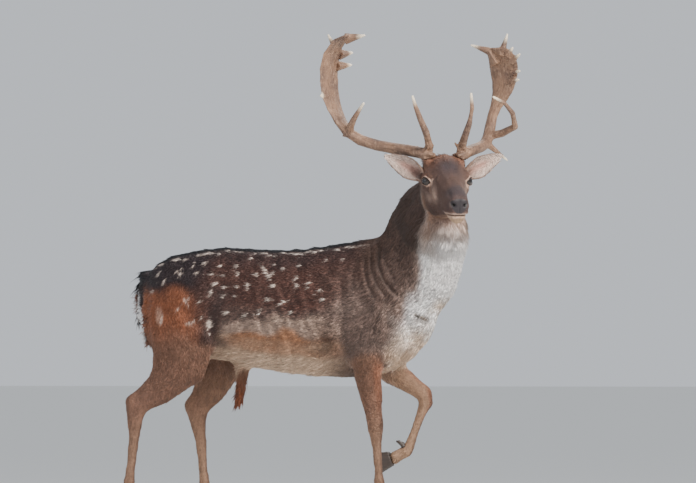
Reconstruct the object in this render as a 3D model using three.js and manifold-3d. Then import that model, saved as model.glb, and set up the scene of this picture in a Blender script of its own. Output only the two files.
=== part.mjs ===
// A fallow deer buck in autumn coat, life size, walking with one forefoot raised and its head turned
// to its right. Millimetres: +X is the way the trunk points, +Y the buck's left, +Z up.
// Every piece is a loft of rings along a curve. The flesh and antlers are joined into one solid, which
// thin cuts then part into the named pieces.
import * as THREE from "three";
import { mergeVertices } from "three/addons/utils/BufferGeometryUtils.js";
import Module from "manifold-3d";

const wasm = await Module();
wasm.setup();

// ---- Driving sizes -------------------------------------------------------------------------------
const GAP = 0.45; // between neighbouring pieces
const WITHERS = 856; // top of the shoulders above the ground
const EYE = { x: 543.6, y: -200, z: 1024.8 }; // the middle point between the eyes
const HEAD_TURN = -66; // degrees from the trunk's line to the face's
const HEAD_PITCH = 7; // degrees that the nose points below level
const EYE_SIDE = 60.5; // from the middle of the head to an eyeball's centre
const EYE_RADIUS = 17;
const PEDICLE_SIDE = 38; // its root, from the middle of the head
const BURR = 26; // radius of an antler's coronet
const BURR_SEAM = 11; // from the coronet's middle down to where antler and pedicle part
const SNAG_TIP = 3.5; // radius
const ANTLER_TURN = -78; // of the frame for antlers and ears: x forwards, y left, z up, from the eyes
const FETLOCK = 92; // height of a standing fetlock joint
const CLAW_WIDTH = 20;
const CLEFT = 3; // between the two claws of a hoof
const SOCKET_PLAY = 0.63; // round a dewclaw in its socket
const CRUMB = 5; // bodies smaller than this across are left out

const vec = (x, y, z) => new THREE.Vector3(x, y, z);
const rad = THREE.MathUtils.degToRad;
const UP = vec(0, 0, 1);
const LEFT = vec(0, 1, 0);

// ---- Solids from rings of points -----------------------------------------------------------------

// A closed geometry over rings that all have the same even number of points. Each end is closed by a
// strip between the ring's two halves.
function overRings(rings) {
  const around = rings[0].length;
  const index = [];
  const quad = (a, b, c, d) => index.push(a, b, c, a, c, d);
  for (let i = 0; i + 1 < rings.length; i++)
    for (let j = 0; j < around; j++) {
      const k = (j + 1) % around;
      quad(i * around + j, i * around + k, (i + 1) * around + k, (i + 1) * around + j);
    }
  const end = (rings.length - 1) * around;
  for (let j = 0; j < around / 2 - 1; j++) {
    const far = around - 1 - j;
    quad(j + 1, j, far, far - 1);
    quad(end + j, end + j + 1, end + far - 1, end + far);
  }
  return new THREE.BufferGeometry().setFromPoints(rings.flat()).setIndex(index);
}

// A geometry as a solid, turned right side out.
function solid(geometry, matrix = new THREE.Matrix4()) {
  const bare = new THREE.BufferGeometry();
  bare.setAttribute("position", geometry.getAttribute("position").clone());
  if (geometry.index) bare.setIndex(geometry.index);
  const merged = mergeVertices(bare.applyMatrix4(matrix), 1e-3);
  const vertProperties = merged.attributes.position.array;
  const triVerts = new Uint32Array(merged.index.array);
  const made = new wasm.Manifold(new wasm.Mesh({ numProp: 3, vertProperties, triVerts }));
  if (made.volume() > 0) return made;
  for (let i = 0; i < triVerts.length; i += 3)
    [triVerts[i + 1], triVerts[i + 2]] = [triVerts[i + 2], triVerts[i + 1]];
  return new wasm.Manifold(new wasm.Mesh({ numProp: 3, vertProperties, triVerts }));
}

const join = (solids) => solids.reduce((sum, s) => sum.add(s));

// Smooth values between the rows of a table, for t from 0 to 1.
function along(rows) {
  const curves = [];
  for (let i = 0; i < rows[0].length; i += 3)
    curves.push(
      new THREE.CatmullRomCurve3(
        rows.map((r) => vec(r[i], r[i + 1] ?? 0, r[i + 2] ?? 0)),
        false,
        "catmullrom",
        0.5,
      ),
    );
  return (t) => curves.flatMap((c) => c.getPoint(t).toArray());
}

// A ring round centre: side and up are its axes, squareness 2 an ellipse and more a squarer one.
// narrowTop and narrowFoot take a share of the width away towards the top and the foot.
function ring(centre, side, up, size, around) {
  const { half, top, foot, square = 2, narrowTop = 0, narrowFoot = 0 } = size;
  const points = [];
  for (let j = 0; j < around; j++) {
    const angle = (2 * Math.PI * j) / around;
    const c = Math.cos(angle);
    const s = Math.sin(angle);
    const level = Math.sign(s) * Math.abs(s) ** (2 / square);
    const narrow = 1 - (s > 0 ? narrowTop : narrowFoot) * s * s;
    const across = Math.sign(c) * Math.abs(c) ** (2 / square) * half * narrow;
    points.push(
      centre
        .clone()
        .addScaledVector(side, across)
        .addScaledVector(up, level * (s > 0 ? top : foot)),
    );
  }
  return points;
}

// Rows of [along, top, foot, half width, squareness, narrow top, narrow foot], as upright rings.
function barrel(rows, steps, around, place) {
  const at = along(rows);
  const rings = [];
  for (let i = 0; i <= steps; i++) {
    const [x, top, foot, half, square, narrowTop, narrowFoot] = at(i / steps);
    const level = (top + foot) / 2;
    const size = { half, top: top - level, foot: level - foot, square, narrowTop, narrowFoot };
    rings.push(ring(vec(x, 0, level), LEFT, UP, size, around));
  }
  return solid(overRings(rings), place);
}

// Rows of [x, y, z, front, rear, half width], as rings across the line that x, y and z follow.
// side(t) is the way that the half width is laid off.
function limb(rows, steps, around, side = () => LEFT) {
  const at = along(rows);
  const rings = [];
  for (let i = 0; i <= steps; i++) {
    const t = i / steps;
    const [x, y, z, front, rear, half] = at(t);
    const before = vec(...at(Math.max(0, t - 0.01)).slice(0, 3));
    const after = vec(...at(Math.min(1, t + 0.01)).slice(0, 3));
    const way = after.sub(before).normalize();
    const fore = side(t).clone().cross(way).normalize();
    const across = way.clone().cross(fore).normalize();
    rings.push(ring(vec(x, y, z), across, fore, { half, top: rear, foot: front }, around));
  }
  return solid(overRings(rings));
}

// A round tine along points, from its root's radius to its tip's.
function tine(points, root, tip, steps, around) {
  const curve = new THREE.CatmullRomCurve3(points.map((p) => vec(...p)));
  const rings = [];
  for (let i = 0; i <= steps; i++) {
    const t = i / steps;
    const way = curve.getTangent(t);
    const side = way.clone().cross(Math.abs(way.z) > 0.9 ? LEFT : UP).normalize();
    const radius = THREE.MathUtils.lerp(root, tip, t ** 1.35);
    const size = { half: radius, top: radius, foot: radius };
    rings.push(ring(curve.getPoint(t), side, side.clone().cross(way), size, around));
  }
  return solid(overRings(rings));
}

const ball = (centre, radii, turn = 0, wide = 16, high = 12) =>
  solid(
    new THREE.SphereGeometry(1, wide, high),
    new THREE.Matrix4()
      .makeTranslation(...centre)
      .multiply(new THREE.Matrix4().makeRotationZ(rad(turn)))
      .multiply(new THREE.Matrix4().makeScale(...radii)),
  );

// A thin disc across axis at a point, which parts what it goes through.
function cut(point, axis, radius, thick = GAP) {
  const turn = new THREE.Quaternion().setFromUnitVectors(LEFT, vec(...axis).normalize());
  const place = new THREE.Matrix4().compose(vec(...point), turn, vec(1, 1, 1));
  return solid(new THREE.CylinderGeometry(radius, radius, thick, 8), place);
}

// Everything on the side of a plane that axis points to, within reach.
function beyond(point, axis, reach) {
  const way = vec(...axis).normalize();
  return cut(vec(...point).addScaledVector(way, reach / 2).toArray(), axis, reach, reach);
}

// ---- Trunk, tail and what hangs under the belly --------------------------------------------------

const trunkRows = [
  // along, top, foot, half width, squareness, narrow top, narrow foot
  [-431, 715, 588, 50, 2, 0, 0],
  [-414, 755, 548, 96, 2.1, 0.05, 0.1],
  [-370, 797, 508, 132, 2.2, 0.1, 0.1],
  [-270, 820, 492, 148, 2.2, 0.12, 0.1],
  [-165, 830, 474, 152, 2.2, 0.14, 0.1],
  [-40, 820, 448, 160, 2.2, 0.16, 0.08],
  [70, 826, 434, 166, 2.2, 0.2, 0.1],
  [180, 842, 427, 160, 2.2, 0.28, 0.16],
  [290, WITHERS, 435, 146, 2.15, 0.34, 0.26],
  [375, 812, 468, 126, 2.1, 0.25, 0.3],
  [438, 728, 528, 96, 2, 0.1, 0.3],
  [468, 650, 590, 48, 2, 0, 0],
];
const trunk = barrel(trunkRows, 14, 16);

const shoulder = (side) => ball([318, side * 84, 618], [100, 66, 172], side * -8, 10, 7);

const tailRows = [
  // x, y, z, front, rear, half width
  [-424, 0, 745, 14, 14, 20],
  [-450, 0, 718, 11, 12, 21],
  [-455, 0, 680, 10, 11, 22],
  [-456, 1, 632, 9, 10, 20],
  [-453, 2, 596, 5, 6, 9],
];
const tail = limb(tailRows, 6, 8);

const sheathRows = [
  [-118, 0, 492, 34, 40, 26],
  [-130, 0, 455, 27, 29, 23],
  [-137, 0, 412, 21, 21, 18],
  [-142, 0, 368, 13, 12, 11],
  [-144, 0, 352, 6, 6, 5],
];
const sheath = limb(sheathRows, 5, 8);
const scrotum = ball([-272, 0, 482], [36, 30, 46], 0, 10, 7);

// ---- Neck ----------------------------------------------------------------------------------------

const neckRows = [
  // x, y, z, front, rear, half width
  [286, 0, 640, 152, 150, 128],
  [388, -4, 736, 159, 152, 124],
  [432, -18, 806, 149, 136, 109],
  [456, -38, 866, 147, 132, 101],
  [474, -62, 918, 143, 118, 94],
  [489, -86, 962, 124, 84, 77],
  [498, -106, 1004, 92, 64, 62],
  [502, -118, 1042, 50, 46, 48],
];
const NECK_TURN = [0, 0, -10, -24, -38, -50, -58, -62];
const neckSide = (t) => {
  const place = t * (NECK_TURN.length - 1);
  const i = Math.min(Math.floor(place), NECK_TURN.length - 2);
  const turn = THREE.MathUtils.lerp(NECK_TURN[i], NECK_TURN[i + 1], place - i);
  return LEFT.clone().applyAxisAngle(UP, rad(turn));
};
const neck = limb(neckRows, 10, 12, neckSide);

// ---- Head, in its own frame: x towards the nose, y left, z up, from between the eyes ---------------

const headPlace = new THREE.Matrix4()
  .makeTranslation(EYE.x, EYE.y, EYE.z)
  .multiply(new THREE.Matrix4().makeRotationZ(rad(HEAD_TURN)))
  .multiply(new THREE.Matrix4().makeRotationY(rad(HEAD_PITCH)));
const onHead = (x, y, z) => vec(x, y, z).applyMatrix4(headPlace).toArray();
const headWay = (x, y, z) => vec(x, y, z).transformDirection(headPlace).toArray();

const headRows = [
  // along, top, foot, half width, squareness, narrow top, narrow foot
  [-128, 30, -66, 46, 2, 0, 0],
  [-98, 61, -102, 66, 2.5, 0.1, 0.1],
  [-58, 76, -118, 72, 2.6, 0.14, 0.2],
  [-16, 72, -116, 71, 2.5, 0.16, 0.34],
  [22, 54, -107, 61, 2.4, 0.18, 0.44],
  [62, 28, -102, 47, 2.3, 0.22, 0.4],
  [102, 9, -102, 40, 2.3, 0.24, 0.26],
  [136, -2, -111, 39, 2.4, 0.24, 0.24],
  [158, -9, -108, 39, 2.4, 0.2, 0.24],
  [173, -16, -90, 33, 2.4, 0.1, 0.14],
  [182, -27, -68, 21, 2.2, 0, 0],
];
const skull = barrel(headRows, 13, 12, headPlace);
const eyeAt = (side) => onHead(-2, side * EYE_SIDE, 0);
const orbit = (side) => ball(onHead(-6, side * 53, 3), [31, 25, 27], HEAD_TURN + side * -8, 9, 6);
const eyeball = (side, radius) => ball(eyeAt(side), [radius, radius, radius], 0, 8, 6);

// ---- Ears: leaves rolled into cups, in the antlers' frame -----------------------------------------

const antlerPlace = new THREE.Matrix4()
  .makeTranslation(EYE.x, EYE.y, EYE.z)
  .multiply(new THREE.Matrix4().makeRotationZ(rad(ANTLER_TURN)));
const onAntler = (points) => points.map((p) => vec(...p).applyMatrix4(antlerPlace).toArray());

const earRows = [
  // radius of the roll, how far its edges come round in radians, wall
  [17, 2.6, 7],
  [21, 2.3, 7],
  [28, 1.8, 6],
  [33, 1.4, 5],
  [32, 1.2, 4.5],
  [26, 1.05, 4],
  [15, 0.95, 3.5],
  [5, 0.9, 3],
];

// root and tip are points, and open is the way that the cup faces.
function ear({ root, tip, open }) {
  const way = vec(...tip).sub(vec(...root));
  const length = way.length();
  way.normalize();
  const out = vec(...open).addScaledVector(way, -vec(...open).dot(way)).normalize();
  const side = way.clone().cross(out);
  const at = along(earRows);
  const steps = 6;
  const half = 4;
  const rings = [];
  for (let i = 0; i <= steps; i++) {
    const t = i / steps;
    const [radius, roll, wall] = at(t);
    const bow = 10 * Math.sin(Math.PI * t); // the leaf's back is bowed
    const middle = vec(...root).addScaledVector(way, length * t).addScaledVector(out, radius * 0.6 - bow);
    const points = [];
    for (const [r, from, to] of [
      [radius, -roll, roll],
      [radius - wall, roll, -roll],
    ])
      for (let j = 0; j <= half; j++) {
        const angle = THREE.MathUtils.lerp(from, to, j / half);
        points.push(
          middle
            .clone()
            .addScaledVector(out, -r * Math.cos(angle))
            .addScaledVector(side, r * Math.sin(angle)),
        );
      }
    rings.push(points);
  }
  return solid(overRings(rings), antlerPlace);
}

const ears = [
  { side: "right", root: [-50, -60, 8], tip: [-66, -190, 79], open: [0.98, -0.1, -0.1] },
  { side: "left", root: [-70, 44, 14], tip: [-116, 168, 80], open: [0.95, 0.3, -0.1] },
];
const EAR_CUT = 0.21; // of the way from root to tip

// ---- Legs ----------------------------------------------------------------------------------------

// Rows for limb() from a chain of joints and a table of [place on the chain, front, rear, half width].
const onChain = (joints, place) => {
  const i = Math.min(Math.floor(place), joints.length - 2);
  return vec(...joints[i]).lerp(vec(...joints[i + 1]), place - i);
};
const legRows = (joints, girths) =>
  girths.map(([place, ...sizes]) => [...onChain(joints, place).toArray(), ...sizes]);

const foreGirths = [
  // place from the shoulder at 0, the elbow 1, the knee 2, the fetlock 3 to the coronet 4
  [0, 60, 60, 40],
  [0.55, 66, 72, 48],
  [1, 50, 60, 42],
  [1.3, 42, 46, 35],
  [1.62, 36, 37, 28],
  [1.86, 27, 27, 24],
  [2.02, 27, 26, 25],
  [2.2, 19, 21, 18.5],
  [2.55, 15.5, 17, 15],
  [2.86, 17, 19, 17],
  [3, 22, 24, 21],
  [3.5, 18, 18, 18.5],
  [4.1, 23, 22, 21.5],
];
const hindGirths = [
  // place from the croup at 0, the rump 1, thigh 2, gaskin 3, hock 4, the fetlock 5 to the coronet 6
  [0, 88, 88, 34],
  [1, 122, 124, 60],
  [2, 114, 138, 57],
  [2.6, 92, 106, 50],
  [3, 66, 71, 42],
  [3.5, 50, 52, 32],
  [3.84, 36, 44, 26],
  [4.06, 29, 40, 24.5],
  [4.25, 23, 25, 20],
  [4.6, 17, 18, 15.5],
  [4.88, 18, 20, 17.5],
  [5, 23, 26, 21.5],
  [5.5, 18.5, 19, 19],
  [6.1, 23, 22, 21.5],
];

// A foot's own frame is at its fetlock, x towards the toe. tilt turns it about y: 0 stands flat.
const CORONET = vec(29, 0, -49);
const CORONET_WAY = vec(-0.36, 0, 0.93).normalize(); // square to the coronet's plane, up the leg
const footPlace = ([x, y, z], tilt, turn) =>
  new THREE.Matrix4()
    .makeTranslation(x, y, z)
    .multiply(new THREE.Matrix4().makeRotationZ(rad(turn)))
    .multiply(new THREE.Matrix4().makeRotationY(rad(tilt)));

// One claw of a hoof, side -1 the right one and 1 the left, up past the coronet.
function claw(side, place) {
  const rings = [];
  for (let i = 0; i <= 2; i++) {
    const t = i / 2;
    const toe = 82 - 36 * t;
    const heel = 9 - 6 * t;
    const points = [];
    for (let j = 0; j < 8; j++) {
      const angle = (2 * Math.PI * j) / 8;
      const c = Math.sign(Math.cos(angle)) * Math.abs(Math.cos(angle)) ** 0.8;
      const s = Math.sign(Math.sin(angle)) * Math.abs(Math.sin(angle)) ** 0.8;
      const wide = (CLAW_WIDTH / 2) * (1.08 - 0.08 * t) * (1 - 0.4 * Math.max(0, c) ** 2);
      const x = (toe + heel) / 2 + ((toe - heel) / 2) * c;
      const outward = CLEFT / 2 + wide * (1 + s);
      points.push(vec(x, side * outward, -FETLOCK + 54 * t));
    }
    rings.push(points);
  }
  return solid(overRings(rings), place);
}

const legs = [
  {
    name: "foreleg_right",
    joints: [[330, -84, 590], [276, -100, 474], [297, -80, 285], [308, -62, FETLOCK]],
    tilt: 0,
    turn: -4,
    girths: foreGirths,
    cuts: [[1.35, 58], [2.14, 36]],
    pieces: ["forearm", "cannon"],
  },
  {
    name: "foreleg_left",
    joints: [[318, 84, 590], [268, 98, 486], [423, 88, 374], [364, 84, 212]],
    tilt: 92,
    turn: 0,
    girths: foreGirths,
    cuts: [[1.5, 46], [2.16, 36]],
    pieces: ["forearm", "cannon"],
  },
  {
    name: "hindleg_right",
    joints: [
      [-290, -66, 735],
      [-308, -84, 640],
      [-280, -102, 530],
      [-333, -106, 425],
      [-436, -96, 345],
      [-466, -86, FETLOCK],
    ],
    tilt: 0,
    turn: -4,
    girths: hindGirths,
    cuts: [[3, 98], [4.22, 44]],
    pieces: ["gaskin", "cannon"],
  },
  {
    name: "hindleg_left",
    joints: [
      [-290, 66, 735],
      [-286, 84, 640],
      [-226, 102, 530],
      [-244, 108, 420],
      [-292, 102, 332],
      [-269, 96, FETLOCK],
    ],
    tilt: 0,
    turn: 5,
    girths: hindGirths,
    cuts: [[3, 98], [4.22, 44]],
    pieces: ["gaskin", "cannon"],
  },
];

// Each leg's flesh, its thin cuts, its coronet cut, its claws and its dewclaws.
for (const leg of legs) {
  const place = footPlace(leg.joints.at(-1), leg.tilt, leg.turn);
  const way = CORONET_WAY.clone().transformDirection(place);
  const coronet = CORONET.clone().applyMatrix4(place);
  leg.joints.push(coronet.toArray());
  leg.flesh = limb(legRows(leg.joints, leg.girths), leg.girths.length, 8);
  leg.thin = leg.cuts.map(([at, radius]) => {
    const step = onChain(leg.joints, at + 0.05).sub(onChain(leg.joints, at - 0.05));
    return cut(onChain(leg.joints, at).toArray(), step.toArray(), radius);
  });
  const down = way.clone().negate().toArray();
  leg.below = beyond(coronet.toArray(), down, 70);
  const above = beyond(coronet.clone().addScaledVector(way, -GAP).toArray(), way.toArray(), 90);
  const at = (x, y, z) => vec(x, y, z).applyMatrix4(place).toArray();
  leg.claws = [-1, 1].map((side) => claw(side, place).subtract(above));
  const dew = (side, wide) => {
    const points = [at(-9, side * 10, -10), at(-20, side * 12, -22), at(-27, side * 13, -36)];
    return tine(points, 9 + wide, 4 + wide, 2, 6);
  };
  leg.dewclaws = [-1, 1].map((side) => dew(side, 0));
  leg.sockets = [-1, 1].map((side) => dew(side, SOCKET_PLAY));
}

// ---- Antlers ------------------------------------------------------------------------------------

// A beam that flattens into a palm. Rows are [x, y, z, half width, half thickness]; wide is the
// direction of the width, in degrees from forwards.
function blade(rows, wide, steps = 14, around = 8) {
  const at = along(rows);
  const across = vec(Math.cos(rad(wide)), Math.sin(rad(wide)), 0);
  const rings = [];
  for (let i = 0; i <= steps; i++) {
    const t = i / steps;
    const [x, y, z, half, thick] = at(t);
    const before = vec(...at(Math.max(0, t - 0.02)).slice(0, 3));
    const way = vec(...at(Math.min(1, t + 0.02)).slice(0, 3)).sub(before).normalize();
    const side = across.clone().addScaledVector(way, -across.dot(way)).normalize();
    const size = { half, top: thick, foot: thick };
    rings.push(ring(vec(x, y, z), side, side.clone().cross(way), size, around));
  }
  return solid(overRings(rings), antlerPlace);
}

// Each antler: its blade, its tines as [name, points, root radius, tip radius], its small snags as
// [root radius, points], and the places of the cuts between its pieces.
const antlers = [
  {
    side: "right",
    burr: [-35, -59, 80],
    wide: -28,
    blade: [
      [-35, -59, 78, 19, 18],
      [-54, -80, 86, 18.5, 18],
      [-92, -122, 94, 18, 17.5],
      [-126, -168, 101, 18, 17],
      [-152, -213, 110, 18, 17],
      [-168, -262, 125, 19, 17],
      [-176, -300, 150, 25, 16],
      [-183, -322, 182, 36, 12],
      [-189, -339, 218, 49, 9],
      [-192, -352, 260, 58, 7.5],
      [-188, -357, 312, 60, 7],
      [-176, -356, 352, 58, 6.5],
      [-158, -346, 394, 52, 6],
      [-136, -322, 428, 44, 5.5],
      [-120, -292, 441, 32, 5],
    ],
    tines: [
      ["brow", [[-42, -62, 84], [-20, -53, 112], [24, -74, 168], [50, -94, 217], [60, -106, 257]], 15, 4],
      ["trez", [[-172, -296, 140], [-150, -293, 162], [-118, -278, 194], [-88, -251, 237]], 15, 4],
    ],
    snags: [
      [14, [[-164, -334, 396], [-134, -360, 444]]],
      [19, [[-196, -326, 384], [-226, -284, 390]]],
      [19, [[-202, -334, 350], [-234, -287, 353]]],
      [19, [[-134, -308, 430], [-106, -247, 441]]],
      [12, [[-166, -362, 258], [-142, -384, 259]]],
      [10, [[-166, -288, 140], [-186, -316, 138]]],
    ],
    cuts: [
      [[-30, -56, 104], [22, 9, 28], 19],
      [[-148, -292, 164], [26, 5, 24], 20],
      [[-180, -313, 167], [-6, -20, 30], 44],
    ],
  },
  {
    side: "left",
    burr: [-58, 41, 80],
    wide: 48,
    blade: [
      [-58, 41, 78, 19, 18],
      [-78, 56, 86, 18.5, 18],
      [-116, 74, 94, 18, 17.5],
      [-164, 94, 101, 18, 17],
      [-208, 110, 109, 18, 17],
      [-238, 121, 122, 19, 17],
      [-251, 128, 145, 20, 15],
      [-258, 132, 170, 19, 14],
      [-263, 138, 198, 18, 12.5],
      [-264, 147, 224, 21, 11],
      [-262, 158, 250, 31, 9],
      [-257, 166, 276, 41, 8],
      [-250, 171, 302, 50, 7],
      [-240, 172, 332, 57, 6.5],
      [-228, 170, 363, 60, 6],
      [-214, 164, 388, 56, 5.5],
      [-204, 156, 404, 36, 5],
    ],
    tines: [
      ["brow", [[-62, 42, 84], [-40, 46, 114], [4, 60, 154], [32, 74, 208], [40, 71, 266]], 15, 4],
      [
        "trez",
        [
          [-250, 124, 138],
          [-226, 166, 146],
          [-186, 206, 166],
          [-148, 198, 206],
          [-118, 174, 236],
          [-100, 137, 256],
        ],
        14,
        4,
      ],
    ],
    snags: [
      [22, [[-236, 152, 356], [-238, 132, 394], [-264, 72, 414]]],
      [15, [[-212, 164, 382], [-198, 183, 447]]],
      [13, [[-196, 184, 380], [-170, 199, 406]]],
      [13, [[-198, 194, 362], [-162, 221, 386]]],
      [12, [[-212, 198, 330], [-176, 221, 334]]],
      [12, [[-222, 194, 304], [-188, 218, 308]]],
      [12, [[-232, 126, 112], [-272, 184, 64]]],
      [10, [[-50, 42, 92], [-38, 22, 116]]],
    ],
    cuts: [
      [[-31, 49, 124], [40, 12, 36], 18],
      [[-233, 152, 144], [24, 42, 8], 20],
      [[-258, 132, 174], [-7, 5, 26], 24],
    ],
  },
];

for (const antler of antlers) {
  const [burr] = onAntler([antler.burr]);
  const sign = antler.side === "left" ? 1 : -1;
  const root = onHead(-54, sign * PEDICLE_SIDE, 30);
  const up = vec(...burr).sub(vec(...root)).normalize();
  antler.pedicle = tine([root, burr], 24, 20, 1, 8);
  antler.bone = join([
    blade(antler.blade, antler.wide),
    ball(burr, [BURR, BURR - 1, 9], 0, 9, 4),
    ...antler.tines.map(([, points, thick, tip]) => tine(onAntler(points), thick, tip, 5, 6)),
    ...antler.snags.map(([thick, points]) =>
      tine(onAntler(points), thick, SNAG_TIP, points.length - 1, 4),
    ),
  ]);
  const seam = vec(...burr).addScaledVector(up, -BURR_SEAM);
  antler.base = cut(seam.toArray(), up.toArray(), BURR + 3);
  antler.thin = antler.cuts.map(([point, axis, radius]) => {
    const way = vec(...axis).transformDirection(antlerPlace).toArray();
    return cut(onAntler([point])[0], way, radius);
  });
}

// ---- The whole, and its parting -------------------------------------------------------------------

const flesh = join([
  trunk,
  shoulder(-1),
  shoulder(1),
  tail,
  sheath,
  scrotum,
  neck,
  skull,
  orbit(-1),
  orbit(1),
  ...legs.map((leg) => leg.flesh),
  ...antlers.map((antler) => antler.pedicle),
  ...antlers.map((antler) => antler.bone),
  ...ears.map(ear),
]);
const earCut = ({ root, tip }) => {
  const [from, to] = onAntler([root, tip]).map((p) => vec(...p));
  return cut(from.clone().lerp(to, EAR_CUT).toArray(), to.sub(from).toArray(), 34);
};
const earMiddle = ({ root, tip }) => {
  const [from, to] = onAntler([root, tip]).map((p) => vec(...p));
  return from.lerp(to, (1 + EAR_CUT) / 2).toArray();
};
const lidOpening = (side) => ball(onHead(0, side * 80, 1), [16, 14, 10.5], HEAD_TURN, 8, 5);
const cuts = join([
  cut([395, -4, 745], [0.66, 0, 0.75], 320),
  cut(onHead(-98, 0, -20), headWay(0.9, 0, 0.44), 170),
  cut([-440, 0, 730], [0.74, 0, 0.67], 27),
  cut([-125, 0, 451], [0.2, 0, 1], 50),
  ...[-1, 1].map((side) => eyeball(side, EYE_RADIUS + GAP)),
  ...[-1, 1].map(lidOpening),
  ...ears.map(earCut),
  ...legs.flatMap((leg) => [...leg.thin, leg.below, ...leg.sockets]),
  ...antlers.flatMap((antler) => [antler.base, ...antler.thin]),
]);

// The separate bodies of a solid, each as its points and triangles, without the cuts' crumbs.
function bodies(made) {
  const mesh = made.getMesh();
  const tied = Array.from({ length: mesh.vertProperties.length / mesh.numProp }, (_, i) => i);
  const find = (i) => {
    while (tied[i] !== i) i = tied[i] = tied[tied[i]];
    return i;
  };
  for (let i = 0; i < mesh.triVerts.length; i += 3)
    for (const k of [1, 2]) tied[find(mesh.triVerts[i + k])] = find(mesh.triVerts[i]);
  const found = new Map();
  for (let i = 0; i < mesh.triVerts.length; i += 3) {
    const key = find(mesh.triVerts[i]);
    if (!found.has(key)) found.set(key, { seen: new Map(), positions: [], index: [] });
    const body = found.get(key);
    for (const corner of mesh.triVerts.slice(i, i + 3)) {
      if (!body.seen.has(corner)) {
        body.seen.set(corner, body.seen.size);
        const from = corner * mesh.numProp;
        body.positions.push(...mesh.vertProperties.slice(from, from + 3));
      }
      body.index.push(body.seen.get(corner));
    }
  }
  const all = [...found.values()].map(({ positions, index }) => {
    const geometry = new THREE.BufferGeometry();
    geometry.setAttribute("position", new THREE.Float32BufferAttribute(positions, 3));
    geometry.setIndex(index);
    geometry.computeBoundingBox();
    const size = geometry.boundingBox.getSize(vec(0, 0, 0)).length();
    return { geometry, size, centre: geometry.boundingBox.getCenter(vec(0, 0, 0)) };
  });
  return all.filter((body) => body.size > CRUMB);
}

const buck = new THREE.Group();
const paint = (color, roughness) => ({ color, roughness, metalness: 0 });
const COATS = {
  back: paint(0x4a2c1c, 0.85),
  neck: paint(0x6b5646, 0.88),
  head: paint(0x4d3527, 0.85),
  leg: paint(0x7a4a2c, 0.82),
  tail: paint(0x1c1613, 0.88),
  belly: paint(0xa5683c, 0.88),
  ear: paint(0x9b8274, 0.8),
  eye: paint(0x0d0908, 0.12),
  horn: paint(0x15110f, 0.45),
  antler: paint(0x5f4029, 0.6),
};

// A body as a mesh of its own, placed at its own middle.
function add(name, { geometry, centre }, coat) {
  const mesh = new THREE.Mesh(
    geometry.translate(-centre.x, -centre.y, -centre.z),
    new THREE.MeshStandardMaterial(COATS[coat]),
  );
  mesh.name = name;
  mesh.position.copy(centre);
  buck.add(mesh);
}
const addOne = (name, made, coat) => add(name, bodies(made)[0], coat);

// Where the middles of the parted bodies are expected, by name.
const marks = [
  ["trunk", [-20, 0, 640], "back"],
  ["neck", [430, -50, 840], "neck"],
  ["head", onHead(30, 0, -20), "head"],
  ["tail", [-455, 0, 665], "tail"],
  ["sheath", [-132, 0, 410], "belly"],
  ...legs.flatMap((leg) => [
    [`${leg.name}_${leg.pieces[0]}`, onChain(leg.joints, leg.cuts[0][0] + 0.5).toArray(), "leg"],
    [`${leg.name}_cannon`, onChain(leg.joints, leg.cuts[1][0] + 0.7).toArray(), "leg"],
  ]),
  ...antlers.flatMap((antler) => [
    [`antler_${antler.side}_beam`, onAntler([antler.blade[3].slice(0, 3)])[0], "antler"],
    [`antler_${antler.side}_palm`, onAntler([antler.blade[10].slice(0, 3)])[0], "antler"],
    ...antler.tines.map(([kind, points]) => [
      `antler_${antler.side}_${kind}_tine`,
      onAntler([points[2]])[0],
      "antler",
    ]),
  ]),
  ...ears.map((leaf) => [`ear_${leaf.side}`, earMiddle(leaf), "ear"]),
];
const found = bodies(flesh.subtract(cuts));
if (found.length !== marks.length) throw new Error(`${found.length} bodies for ${marks.length} names`);
for (const [name, mark, coat] of marks) {
  const far = (body) => body.centre.distanceTo(vec(...mark));
  found.sort((a, b) => far(a) - far(b));
  add(name, found.shift(), coat);
}

for (const [side, sign] of [["right", -1], ["left", 1]]) {
  addOne(`eye_${side}`, eyeball(sign, EYE_RADIUS), "eye");
}
for (const leg of legs)
  for (const [side, i] of [["right", 0], ["left", 1]]) {
    addOne(`${leg.name}_claw_${side}`, leg.claws[i], "horn");
    addOne(`${leg.name}_dewclaw_${side}`, leg.dewclaws[i], "horn");
  }

// The origin is under the middle of the whole, on the ground.
const box = new THREE.Box3().setFromObject(buck);
buck.position.set(-(box.min.x + box.max.x) / 2, -(box.min.y + box.max.y) / 2, -box.min.z);

export default buck;
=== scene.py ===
import math

import bmesh
import bpy
import numpy as np
from mathutils import Matrix, Vector


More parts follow.
